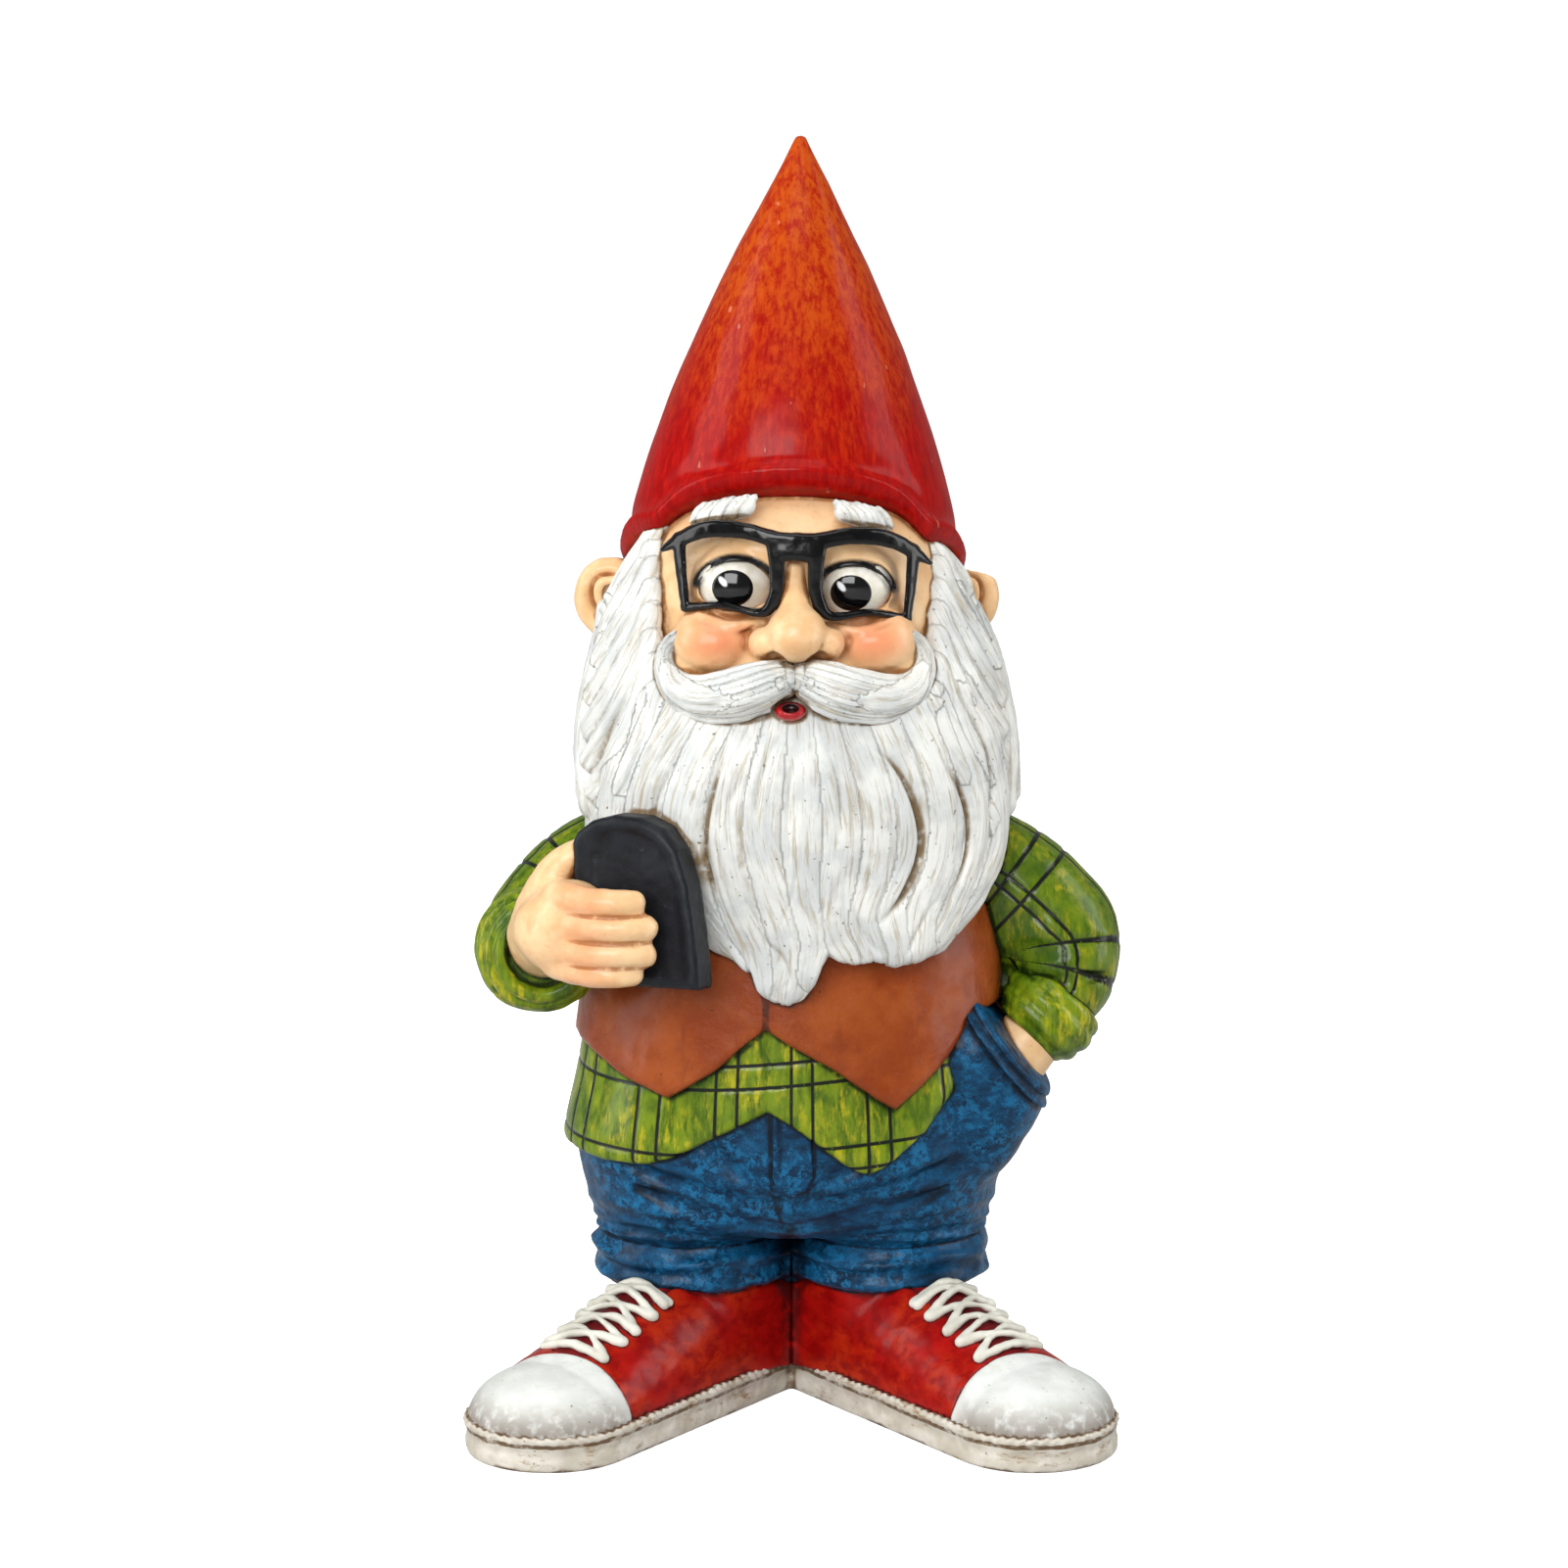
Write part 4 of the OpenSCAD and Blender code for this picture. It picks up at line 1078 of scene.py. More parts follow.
SIDE_LOCKS = [
    [(33.5, 211, 2.4), (37, 205, 2.8), (41.5, 198, 3.1), (45.5, 191, 2.8)],
    [(34, 206.5, 2.4), (37.5, 200, 2.9), (42.5, 192, 3.3), (47, 184, 3.0)],
    [(34.5, 202, 2.4), (38, 195, 2.9), (43, 186.5, 3.4), (48, 178, 3.1)],
    [(34.5, 197, 2.4), (38.2, 190, 3.0), (43.5, 180.5, 3.5), (49, 171, 3.2)],
    [(34.5, 192, 2.4), (38.2, 184.5, 3.0), (43.5, 174.5, 3.6), (49.5, 164, 3.3)],
    [(34.5, 186.5, 2.4), (38, 178.5, 3.2), (43.2, 168, 3.7), (49.5, 157, 3.4)],
    [(34, 181, 2.6), (37, 172.5, 3.4), (42, 161.5, 3.9), (48.5, 150, 3.6)],
    [(33, 175, 2.8), (35.5, 166.5, 3.6), (40.5, 155.5, 4.1), (46.5, 144, 3.8)],
]
GROOVES = [
    (1.5, [(-14, 167), (-17, 158), (-19.2, 149), (-19.6, 139), (-17, 129)]),
    (1.0, [(-2.6, 168), (-6.4, 160), (-8.2, 151), (-6.6, 143)]),
    (0.9, [(0.8, 163), (-0.8, 155), (-0.6, 147)]),
    (1.1, [(7.6, 166), (10.6, 158), (11.4, 150), (10.4, 142)]),
    (2.3, [(19, 165), (25.4, 158), (29.2, 149), (30.0, 140), (26.6, 130.5), (19.4, 122.4)]),
    (1.6, [(33.5, 163), (38.6, 154), (41, 145), (40, 135.5), (35.6, 125)]),
    (1.0, [(-24, 164), (-30, 154), (-32, 144), (-31, 134)]),
    (1.0, [(-10, 130), (-7, 121), (-2, 115.5), (-0.4, 111), (-2.6, 108)]),
    (0.8, [(3, 132), (5.4, 124), (7.6, 117)]),
    (0.9, [(14, 128), (17, 121), (21, 116)]),
    (0.9, [(33, 128), (29, 121), (26.5, 115)]),
    (0.7, [(2, 140), (0, 130), (-3, 122)]),
    (1.2, [(38, 176), (43.5, 166), (46.5, 156), (46, 145)]),
    (1.2, [(-36, 176), (-42, 166), (-45, 156), (-45, 146)]),
]


def crease_depth(points, normals):
    """Depth of the long thin creases in the front of the beard, in millimetres."""
    x, _, z = points.T
    facing = np.clip(-normals[:, 1] * 3, 0, 1)
    edges = [(0.4, [((a[0] + b[0]) / 2, (a[1] + b[1]) / 2) for a, b in zip(left, right)])
             for left, right in zip(FRONT_LOCKS[:-1], FRONT_LOCKS[1:])]
    total = np.zeros(len(points))
    for deep, rows in GROOVES + edges:
        path = catmull([(a, 0, b) for a, b in rows], 18)
        near, place = np.full(len(points), FAR), np.zeros(len(points))
        for i, (a, b) in enumerate(zip(path[:-1], path[1:])):
            su, sv = b[0] - a[0], b[2] - a[2]
            h = np.clip(((x - a[0]) * su + (z - a[2]) * sv) / (su * su + sv * sv), 0, 1)
            gap = np.hypot(x - a[0] - su * h, z - a[2] - sv * h)
            closer = gap < near
            near = np.where(closer, gap, near)
            place = np.where(closer, i + h, place)
        taper = np.sin(math.pi * np.clip(place / 18, 0, 1)) ** 0.6
        width = 0.34 + 0.26 * deep
        total = np.maximum(total, deep * taper * np.exp(-(near / width) ** 2))
    return total * facing
beard_hem = [(-60, 60), (-60, 128), (-34, 124), (-24, 117), (-14.5, 114.4), (-9.4, 111.4), (-8, 107.4),
             (-4.4, 104.4), (-0.4, 103.6), (3, 105.4), (5.4, 109), (7, 113.4), (8.6, 116), (10.6, 114.6),
             (14, 113.6), (19, 114.2), (24, 112.2), (30, 113), (35.5, 114.4), (39, 118.6), (44, 123), (47, 128),
             (60, 136), (60, 60)]


def mirrored(rows):
    """A lock drawn about the face's middle, on the other side of it."""
    return [(2 * FACE_X - x, *rest) for x, *rest in rows]


face_window = [(-31, 176), (-31.5, 195), (-33.5, 206), (-38, 214), (-34, 230), (36, 230),
               (40, 214), (35.5, 206), (33.5, 195), (33, 176)]


def build_beard():
    clay = Clay((-58, -56, 98), (60, PARTING_Y + 2, 214), 0.5)
    clay.add(loft(WHISKERS, -1.4))
    clay.cut(curtain(face_window, -90, -12, 2.0), 1.5)
    curves = [lock_curve(WHISKERS, rows, 1.2, 1.45) for rows in FRONT_LOCKS]
    for rows in SIDE_LOCKS:
        curves.append(lock_curve(WHISKERS, rows, 1.2))
        curves.append(lock_curve(WHISKERS, mirrored(rows), 1.2))
    for s in (RIGHT, LEFT):
        for i in range(4):
            angle = s * (80 + 9 * i)
            rows = [(angle - s * 12, 196 - 3 * i, 3.0), (angle - s * 2, 180, 3.8),
                    (angle + s * 3, 162, 4.2), (angle - s * 2, 146 + 2 * i, 3.8)]
            curves.append([around(WHISKERS, a, z, r - 1.2) + [r] for a, z, r in rows])
    locks = Locks(curves)
    for curve in curves[:len(FRONT_LOCKS)]:
        clay.add(tube(curve, 28), 3.2)
    for curve in curves[len(FRONT_LOCKS):]:
        clay.add(tube(curve, 28), 0.7)
    for s in (RIGHT, LEFT):
        rows = [(32.4, 222, 2.0), (33.6, 213, 2.2), (34.6, 205, 2.4), (35, 195, 2.5), (35, 185, 2.5), (34, 175, 2.6)]
        rim = rows if s == LEFT else mirrored(rows)
        clay.add(tube(lock_curve(WHISKERS, rim, 0.4)), 2.0)
    clay.cut(curtain(beard_hem, -90, 30, 0.6), 1.6)
    clay.cut(skull.grown(-SEAT), 0.2)
    clay.cut(loft(CHEST, VEST_T - SEAT), 0.2)
    clay.keep(half_space((0, PARTING_Y + SEAT, 0), (0, 1, 0)), 0.3)
    clay.keep(Form(lambda x, y, z: np.hypot(x, y) - BRIM_R + 2.4 - np.maximum(-brim_height(y, z, x), 0)), 0.8)
    clay.keep(under_brim, 0.3)
    for s in (RIGHT, LEFT):
        clay.cut(egg((FACE_X + s * 42.6, 5.5, 192.2), (8.8, 3.4, 10)), 0.4)

    def marks_for(points, normals):
        crease = crease_depth(points, normals)
        return {"flow": locks.flow(points), "crease": crease, "stain": 0.45 * crease}

    def combed(points, normals, marks):
        fine = strands(marks["flow"], depth=0.26, seed=11) + 0.14 * lattice_noise(points / 3.4, 18)
        return fine - marks["crease"]

    sculpt("beard", clay, WHISKER_PAINT, combed, marks_for)


def build_hair():
    clay = Clay((-54, PARTING_Y - 3, 134), (54, 52, 206), 0.65)
    clay.add(loft(NAPE, -1.4))
    curves = []
    for i in range(17):
        angle = 82 + 12.25 * i
        sway = 4 * math.sin(1.7 * i)
        rows = [(angle, 204, 3.6), (angle + sway, 186, 4.8), (angle - sway, 166, 5.4),
                (angle + sway, 150, 5), (angle + 2 * sway, 139.5 + 2 * math.sin(2.3 * i), 3.2)]
        curves.append([around(NAPE, a, z, r - 2.2) + [r] for a, z, r in rows])
    locks = Locks(curves)
    locks.add_to(clay, 1.0)
    clay.cut(skull.grown(-SEAT), 0.2)
    clay.cut(loft(CHEST, VEST_T - SEAT), 0.2)
    clay.keep(half_space((0, PARTING_Y, 0), (0, -1, 0)), 0.3)
    clay.keep(under_brim, 0.3)
    hairy("hair", clay, locks, 0.24, seed=31)


def build_lip():
    centre = np.array([FACE_X - 1, -47.4, 173.2])
    clay = Clay(centre - 6, centre + 6, 0.22)
    clay.add(egg(centre, (3.5, 3.2, 2.2)))
    clay.cut(egg(centre + (0, -3.0, 1.1), (2.2, 2.4, 1.0)), 0.5)

    def mouth(points, normals):
        away = np.hypot((points[:, 0] - centre[0]) / 2.4, (points[:, 2] - centre[2] - 1.1) / 1.2)
        return {"dark": np.clip((1.1 - away) * 3, 0, 1)}

    p = Paint("lip paint")
    colour = p.mix(p.ramp(p.noise(1.5), 0.4, 0.6), srgb(170, 16, 24), srgb(198, 32, 38))
    colour = p.mix(p.attribute("dark"), colour, srgb(40, 6, 8))
    sculpt("lower_lip", clay, p.finish(colour, 0.22, p.bump(p.noise(1.0), 0.05), coat=0.5), None, mouth)


# ---------- clothes ----------

shirt_edge = [(-90, 30), (-90, 63), (-52, 63), (-44, 62.4), (-34, 63.2), (-28, 65.4), (-14, 73), (-5.4, 77.6),
              (2, 73), (13, 64.4), (17.6, 62.4), (22, 64), (31, 71), (38, 80), (42, 90), (45, 98), (90, 98), (90, 30)]
vest_edge = [(-90, 30), (-90, 91), (-52, 89.6), (-40, 84), (-28.6, 80), (-18, 87), (-5.9, 97.2),
             (8, 89), (24, 77.6), (34, 86), (45, 97.6), (90, 99), (90, 30)]
PLACKET_X = -5.4


def weave_marks(points, normals):
    x, y, z = points.T
    turn = np.arctan2(x, -y)
    return {"weave": np.stack([turn * 50, z - 2.2 * np.sin(turn * 1.6), 0 * z], 1)}


def line_pairs(value, gap, repeat, width, start=0.0):
    """The same pairs of lines as the paint draws, as a 0 to 1 groove."""
    near = FAR
    for shift in (0.0, gap):
        place = np.abs((value - start - shift + repeat / 2) % repeat - repeat / 2)
        near = np.minimum(near, place)
    return np.clip(1 - near / width, 0, 1)


def engraved(points, normals, marks):
    u, v = marks["weave"][:, 0], marks["weave"][:, 1]
    lines = np.maximum(line_pairs(u, 6.5, 23.0, 0.8), line_pairs(v, 5.4, 21.0, 0.8))
    return 0.1 * lattice_noise(points / 5, 15) - 0.35 * lines


def build_shirt():
    clay = Clay((-60, -46, 56), (60, 46, 147), 0.7)
    clay.add(loft(CHEST, 0.2))
    clay.cut(curtain(shirt_edge, -70, 0, 1.0), 1.4)
    clay.cut(curtain([(-90, 30), (-90, 63.5), (90, 63.5), (90, 30)], 0, 70, 1.0), 1.4)
    clay.cut(loft(HIPS, -SEAT), 0.3)
    clay.cut(tube([(PLACKET_X + 0.2, y, z, 0.8) for y, z in ((-39, 60), (-38.6, 75), (-37.6, 86), (-36.6, 98))]), 0.6)
    sculpt("shirt", clay, shirt_paint("shirt paint", True), engraved, weave_marks)


def arm(rows):
    return tube(rows, 30)


def build_vest():
    clay = Clay((-62, -48, 72), (62, 48, 147), 0.7)
    clay.add(loft(CHEST, VEST_T))
    clay.cut(curtain(vest_edge, -70, 0, 1.0), 1.8)
    clay.cut(curtain([(-90, 30), (-90, 88), (90, 88), (90, 30)], 0, 70, 1.0), 1.8)
    clay.cut(loft(CHEST, -SEAT), 0.3)
    clay.cut(tube([(-5.9, y, z, 1.2) for y, z in ((-39.9, 92), (-39.4, 98), (-38.4, 112), (-35.4, 125))]), 0.5)
    clay.cut(arm(RIGHT_ARM).grown(-0.3), 1.2)
    clay.cut(arm(LEFT_ARM).grown(-0.3), 1.2)

    def marks_for(points, normals):
        x, y, z = points.T
        return {"stain": 0.9 * np.exp(-((x + 5.9) / 0.8) ** 2) * (y < -20)}

    def lumps(points, normals, marks):
        return 0.4 * lattice_noise(points / 12, 17) + 0.12 * lattice_noise(points / 3.4, 18)

    sculpt("vest", clay, vest_paint(), lumps, marks_for)


def arm_marks(rows, hollow):
    """Checks that run along and around an arm, and painted shade in the crook of the elbow."""
    path = catmull(rows, 90)[:, :3]
    ways = np.gradient(path, axis=0)
    ways = ways / np.linalg.norm(ways, axis=1, keepdims=True)
    along = np.concatenate([[0], np.cumsum(np.linalg.norm(np.diff(path, axis=0), axis=1))])
    side = np.cross(ways, (0, 1, 0))
    side = side / np.linalg.norm(side, axis=1, keepdims=True)
    top = np.cross(side, ways)

    def marks_for(points, normals):
        near = np.concatenate([((part[:, None, :] - path[None]) ** 2).sum(2).argmin(1)
                               for part in np.array_split(points, max(1, len(points) // 4000))])
        gap = points - path[near]
        forward = (gap * ways[near]).sum(1)
        turn = np.arctan2((gap * side[near]).sum(1), (gap * top[near]).sum(1))
        # The crook of the elbow is darkened as painted shade, carried in the stain mark.
        crook = np.linalg.norm(points - hollow, axis=1)
        return {"weave": np.stack([along[near] + forward + 9, turn * 13 + 3, 0 * turn], 1),
                "stain": np.clip(1.35 - crook / 8, 0, 1)}

    return marks_for


def build_sleeves():
    paint = shirt_paint("sleeve paint", True, 0.35)
    for side, rows, folds, hollow in (("right", RIGHT_ARM, RIGHT_FOLDS, (-46, -16, 112)),
                                      ("left", LEFT_ARM, LEFT_FOLDS, (48, -9, 102))):
        points = np.array(rows)[:, :3]
        clay = Clay(points.min(0) - 18, points.max(0) + 18, 0.55)
        clay.add(arm(rows))
        if side == "left":
            clay.add(tube([(45, 3, 118, 9), (50, 2, 108, 8), (53, 1, 100, 6)]), 5)
        for fold in folds:
            clay.cut(tube(fold), 1.8)
        clay.cut(loft(CHEST, -SEAT), 0.3)

        def creased(points, normals, marks):
            return engraved(points, normals, marks) + 0.3 * lattice_noise(points / 7, 16)

        sculpt(side + "_sleeve", clay, paint, creased, arm_marks(rows, hollow))


LEFT_FOLDS = [
    [(48, -8.5, 113, 1.0), (54, -12.1, 117, 2.4), (62, -13.9, 120.5, 1.9), (70, -9, 123, 0.4)],
    [(49, -7.5, 107.5, 1.8), (56, -11.9, 109.5, 2.9), (65, -14.0, 112, 2.2), (74, -9, 113.5, 0.4)],
    [(50, -7.5, 102.5, 1.8), (57, -12.1, 102.6, 2.7), (66, -14.1, 103.5, 2.1), (74, -9, 104, 0.4)],
    [(47, -5, 105, 2.8), (51, -7.5, 103, 3.2), (54, -8.5, 99, 2.4)],
]
RIGHT_FOLDS = [
    [(-46, -6, 122, 0.8), (-54, -9, 128, 1.8), (-62, -8, 131, 0.6)],
    [(-62, -13, 124, 0.6), (-69, -11, 119, 1.6), (-73, -4, 110, 0.6)],
]


def ring(centre, axis, folds, core):
    """Rolled cloth: rows of distance from the axis, place along it and thickness, on a disc."""
    centre = np.array(centre, float)
    axis = np.array(axis, float) / np.linalg.norm(axis)

    def dist(x, y, z):
        dx, dy, dz = x - centre[0], y - centre[1], z - centre[2]
        h = dx * axis[0] + dy * axis[1] + dz * axis[2]
        rho = np.sqrt(np.maximum(dx * dx + dy * dy + dz * dz - h * h, 0))
        out = smax(rho - core, np.abs(h) - 4.2, 1)
        for reach, place, thick in folds:
            out = smin(out, np.sqrt((rho - reach) ** 2 + (h - place) ** 2) - thick, 0.5)
        return out

    return Form(dist, centre - 22, centre + 22)


CUFFS = {
    "right": ((-58.2, -25.5, 113.4), (0.12, -1, 0.05),
              [(12.6, -5.2, 2.4), (12.5, -1.2, 2.2), (11.2, 2.6, 2.3), (9.5, 5.8, 1.9)], 10.8),
    "left": ((60.3, -4.5, 93.6), (-0.7, -0.2, -0.69),
             [(8.6, -4.4, 2.9), (9.9, -1.0, 2.9), (9.3, 2.6, 2.7), (8.2, 5.2, 1.9)], 8.4),
}


def build_cuff_rolls():
    paint = shirt_paint("cuff paint", False)
    for side, (centre, axis, folds, core) in CUFFS.items():
        clay = Clay(np.array(centre) - 18, np.array(centre) + 18, 0.5)
        clay.add(ring(centre, axis, folds, core))
        clay.cut(loft(CHEST, VEST_T - SEAT), 0.3)

        def crumple(points, normals, marks):
            return 0.45 * lattice_noise(points / 6, 23) + 0.12 * lattice_noise(points / 2.2, 24)

        sculpt(side + "_cuff_roll", clay, paint, crumple)


# ---------- hands and phone ----------

def build_right_hand():
    clay = Clay((-68, -64, 102), (-24, -16, 147), 0.42)
    clay.add(tube([(-57.5, -24, 115, 8.5), (-56, -34, 119, 9.2), (-54, -42, 122, 9.4)]))
    clay.add(egg((-52.3, -45, 122.2), (8.0, 9.4, 9.8)), 3)
    clay.add(tube([(-57.5, -35, 126, 5.4), (-55.5, -35.5, 131.5, 4.6), (-52, -35.5, 136.5, 3.8), (-46, -36, 140, 3.0)]), 3)
    clay.add(egg((-49, -44, 129.5), (6, 5, 4)), 3)
    fingers = ((130.8, -35.6, 3.3), (125.0, -33.4, 3.6), (119.0, -33.4, 3.5), (114.0, -36, 2.8))
    for z, tip, r in fingers:
        finger = [(-53, -47.5, z + 0.2, r), (-48, -53.0, z + 0.2, r * 1.02), (-42, -55.7, z, r * 0.98),
                  (tip - 3, -55.8, z - 0.1, r * 0.95), (tip, -54.6, z - 0.2, r * 0.88)]
        clay.add(tube(finger), 1.9)
    for a, b in zip(fingers[:-1], fingers[1:]):
        z = (a[0] - a[2] + b[0] + b[2]) / 2
        clay.cut(tube([(-52, -54.6, z + 0.4, 0.2), (-46.5, -57.4, z + 0.2, 0.5), (-40, -58.9, z, 0.7),
                       (-33.5, -58.0, z - 0.2, 0.8)]), 0.6)
    clay.cut(phone_form(-0.3), 0.2)

    def marks_for(points, normals):
        x, y, z = points.T
        pink = np.clip(1.2 - np.abs(x + 47) / 8, 0, 1) * np.clip((-y - 48) / 4, 0, 1)
        lines = 0
        for a, b in zip(fingers[:-1], fingers[1:]):
            middle = (a[0] - a[2] + b[0] + b[2]) / 2
            lines = lines + np.exp(-((z - middle) / 0.5) ** 2) * np.clip((x + 52) / 4, 0, 1) * np.clip((-y - 50) / 3, 0, 1)
        return {"blush": 0.5 * pink, "liner": 0 * x, "stain": 0.75 * lines}

    def creases(points, normals, marks):
        return 0.1 * lattice_noise(points / 2.0, 25) + 0.25 * lattice_noise(points / 5, 26)

    sculpt("right_hand", clay, SKIN_PAINT, creases, marks_for)


def build_left_hand():
    clay = Clay((38, -26, 64), (74, 12, 104), 0.55)
    clay.add(tube([(61, -4.5, 94, 7.0), (56.5, -7, 88.5, 7.8), (52, -9, 82, 7.6), (48, -10, 75, 7.5)]))
    clay.cut(loft(CHEST, VEST_T - SEAT), 0.3)

    def marks_for(points, normals):
        return {"blush": 0 * points[:, 0], "liner": 0 * points[:, 0]}

    sculpt("left_hand", clay, SKIN_PAINT, None, marks_for)


PHONE_T = 8.5


PHONE_W, PHONE_H, PHONE_T = 27.0, 41.0, 8.5
PHONE_TURN = (-3, -2, -26)
phone_outline = [(-14.6, 0), (-15.2, 10), (-15.3, 22), (-15.3, 32.5), (-14, 35), (-10, 37.6), (-4, 39.2), (2.5, 38.8),
                 (8, 36.4), (12, 31.6), (14.6, 24), (16.1, 14), (16.9, 5), (16.9, 0)]


def phone_form(grow=0.0, recess=False):
    """The phone: a slab with one broad shoulder, and a raised rim on the face that shows."""
    ax, ay, az = (math.radians(a) for a in PHONE_TURN)
    rx = np.array([[1, 0, 0], [0, math.cos(ax), -math.sin(ax)], [0, math.sin(ax), math.cos(ax)]])
    ry = np.array([[math.cos(ay), 0, math.sin(ay)], [0, 1, 0], [-math.sin(ay), 0, math.cos(ay)]])
    rz = np.array([[math.cos(az), -math.sin(az), 0], [math.sin(az), math.cos(az), 0], [0, 0, 1]])
    turn = rz @ ry @ rx
    foot = np.array([PHONE.mid[0] + 0.6, PHONE.mid[1] + 0.4, PHONE.lo[2] + 2.2])

    def dist(x, y, z):
        d = (x - foot[0], y - foot[1], z - foot[2])
        u, v, w = (sum(d[i] * turn[i, k] for i in range(3)) for k in range(3))
        flat = outline_distance(u, w, phone_outline).astype(np.float32)
        slab = smax(flat - grow, np.abs(v) - PHONE_T / 2 - grow, 2.2)
        if recess:
            panel = smax(flat + 3.4, -u - 9, 5.0)
            slab = smax(slab, -smax(panel, v + PHONE_T / 2 - 0.5, 1.4), 1.4)
        return slab

    return Form(dist, PHONE.lo - 4 - abs(grow), PHONE.hi + 4 + abs(grow))


pocket_bulge = tube([(39, -14, 91, 10), (43, -12.5, 85.5, 14), (45, -9.5, 79.5, 15.6), (41.5, -8, 68, 14)])
pocket_mouth = half_space((52.5, -14, 89), (0.80, -0.08, 0.6))
fly_edge = [(-4.4, 80), (-4.4, 62), (-3.0, 58.2), (0.2, 57.0), (3.2, 58.4), (4.8, 62), (5.0, 80)]


def hip_distance(x, y, z):
    """The seat of the trousers with the cloth pushed out over the pocketed hand."""
    bulge = smax(pocket_bulge.dist(x, y, z), pocket_mouth.dist(x, y, z), 1.2)
    return smin(loft(HIPS, 0.0, 8.0).dist(x, y, z), bulge, 3)


def build_phone():
    clay = Clay(PHONE.lo - 4, PHONE.hi + 4, 0.45)
    clay.add(phone_form(0.0, True))

    def worn(points, normals, marks):
        return 0.28 * lattice_noise(points / 7, 27) + 0.08 * lattice_noise(points / 1.8, 28)

    sculpt("phone", clay, matte_paint("phone paint", (12, 14, 18), (24, 27, 34), 0.36), worn)


# ---------- trousers ----------

LEG_X, LEG_Y = 23.5, 3.0


def leg_folds(x, y, z, s):
    """Bunched cloth round one leg: rings that wander up and down."""
    turn = np.arctan2((x - s * LEG_X) * s, -(y - LEG_Y))
    out = 0
    for height, size, width, wave, phase in ((48.8, 1.3, 1.3, 1.9, 0.4), (45.2, 1.2, 1.0, 1.2, 1.1),
                                             (42.2, 1.5, 1.1, 0.9, 1.9)):
        out = out + size * np.exp(-((z - height - wave * np.sin(turn * 2 + phase)) / width) ** 2)
    return out


def build_trousers():
    clay = Clay((-62, -44, 26), (68, 44, 106), 0.62)
    clay.add(Form(hip_distance))
    columns = [loft([(28, s * LEG_X, LEG_Y, 21, 21), (38, s * LEG_X, LEG_Y, 21.5, 21.5),
                     (46, s * LEG_X, LEG_Y - 1, 22.6, 24.4), (56, s * (LEG_X - 1), LEG_Y - 2, 24, 29),
                     (64, s * (LEG_X - 2), LEG_Y - 3, 23, 30)], 0, 1.0) for s in (RIGHT, LEFT)]
    clay.add(Form(lambda x, y, z: smin(columns[0].dist(x, y, z) - leg_folds(x, y, z, RIGHT),
                                       columns[1].dist(x, y, z) - leg_folds(x, y, z, LEFT), 7)), 3)
    for s in (RIGHT, LEFT):
        clay.cut(hip_groove([(s * 3, 55, 1.0), (s * 12, 54, 2.8), (s * 24, 56.5, 2.8), (s * 38, 62, 0.8)]), 3.0)
        clay.cut(hip_groove([(s * 1.5, 47.5, 1.2), (s * 10, 48.5, 2.2), (s * 22, 51.2, 2.2), (s * 36, 56, 0.6)]), 2.4)
        clay.cut(hip_groove([(s * 5.5, 58, 0.6), (s * 12, 62, 1.9), (s * 20, 69, 0.6)]), 2.6)
    clay.cut(tube([(-0.4, -17, 27, 0.8), (-0.4, -21, 36, 1.0), (-0.8, -28, 42, 2.0), (-1.6, -33.8, 48.4, 1.8),
                   (-2.6, -36.4, 54, 0.9), (-4.2, -37.0, 60, 0.5)]), 2.0)

    def marks_for(points, normals):
        x, y, z = points.T
        seam = np.abs(outline_distance(x, z, fly_edge))
        centre = np.exp(-((x + 4.4 - 0.16 * np.maximum(62 - z, 0)) / 0.7) ** 2) * (z < 79) * (z > 44)
        front = np.clip((-y - 28) / 4, 0, 1)
        # The crotch and the strip between the legs are darkened as painted shade; the fly flap and centre seam lines
        # are dark seams.
        crotch = np.exp(-np.hypot((x + 1) / 3.2, (z - 45) / 3.6) ** 2)
        between = np.exp(-((x + 0.5) / 2.6) ** 2) * np.clip((50 - z) / 6, 0, 1)
        flap = np.exp(-(seam / 0.7) ** 2) * (z < 79)
        return {"stain": front * (0.7 * np.maximum(flap, centre) + 0.8 * crotch) + 0.7 * between}

    def worn(points, normals, marks):
        return 0.5 * lattice_noise(points / 9, 33) + 0.18 * lattice_noise(points / 2.6, 34)

    sculpt("trousers", clay, DENIM_PAINT, worn, marks_for)


def build_fly():
    clay = Clay((-9, -42, 54), (10, -28, 84), 0.38)
    clay.add(curtain(fly_edge, -60, -20, 0.4))
    skin = loft(HIPS, 0.0, 8.0)
    clay.keep(Form(lambda x, y, z: np.abs(skin.dist(x, y, z) - 0.1) - 1.6), 0.8)
    clay.cut(tube([(-2.6, -37.2, z, 0.5) for z in (59, 66, 74, 82)]), 0.4)

    def worn(points, normals, marks):
        return 0.16 * lattice_noise(points / 2.4, 35)

    sculpt("fly_flap", clay, DENIM_PAINT, worn)


def build_pocket_lip():
    clay = Clay((36, -36, 66), (70, 10, 108), 0.4)

    def dist(x, y, z):
        above = pocket_mouth.dist(x, y, z)
        ridge = np.minimum(np.abs(above + 0.9) - 0.75, np.abs(above + 3.5) - 0.5)
        base = np.abs(above + 2.2) - 2.1
        cloth = hip_distance(x, y, z)
        return smin(smax(cloth - 1.0, ridge, 0.6), smax(cloth - 0.35, base, 0.5), 0.3)

    clay.add(Form(dist)).keep(Form(lambda x, y, z: -(hip_distance(x, y, z) + 1.5)), 0.4)
    clay.keep(Form(lambda x, y, z: smax(40.5 - x, smax(y - 4, 70 - z, 1.0), 1.0)), 0.8)

    def worn(points, normals, marks):
        return 0.12 * lattice_noise(points / 2.6, 36)

    sculpt("pocket_lip", clay, DENIM_PAINT, worn)


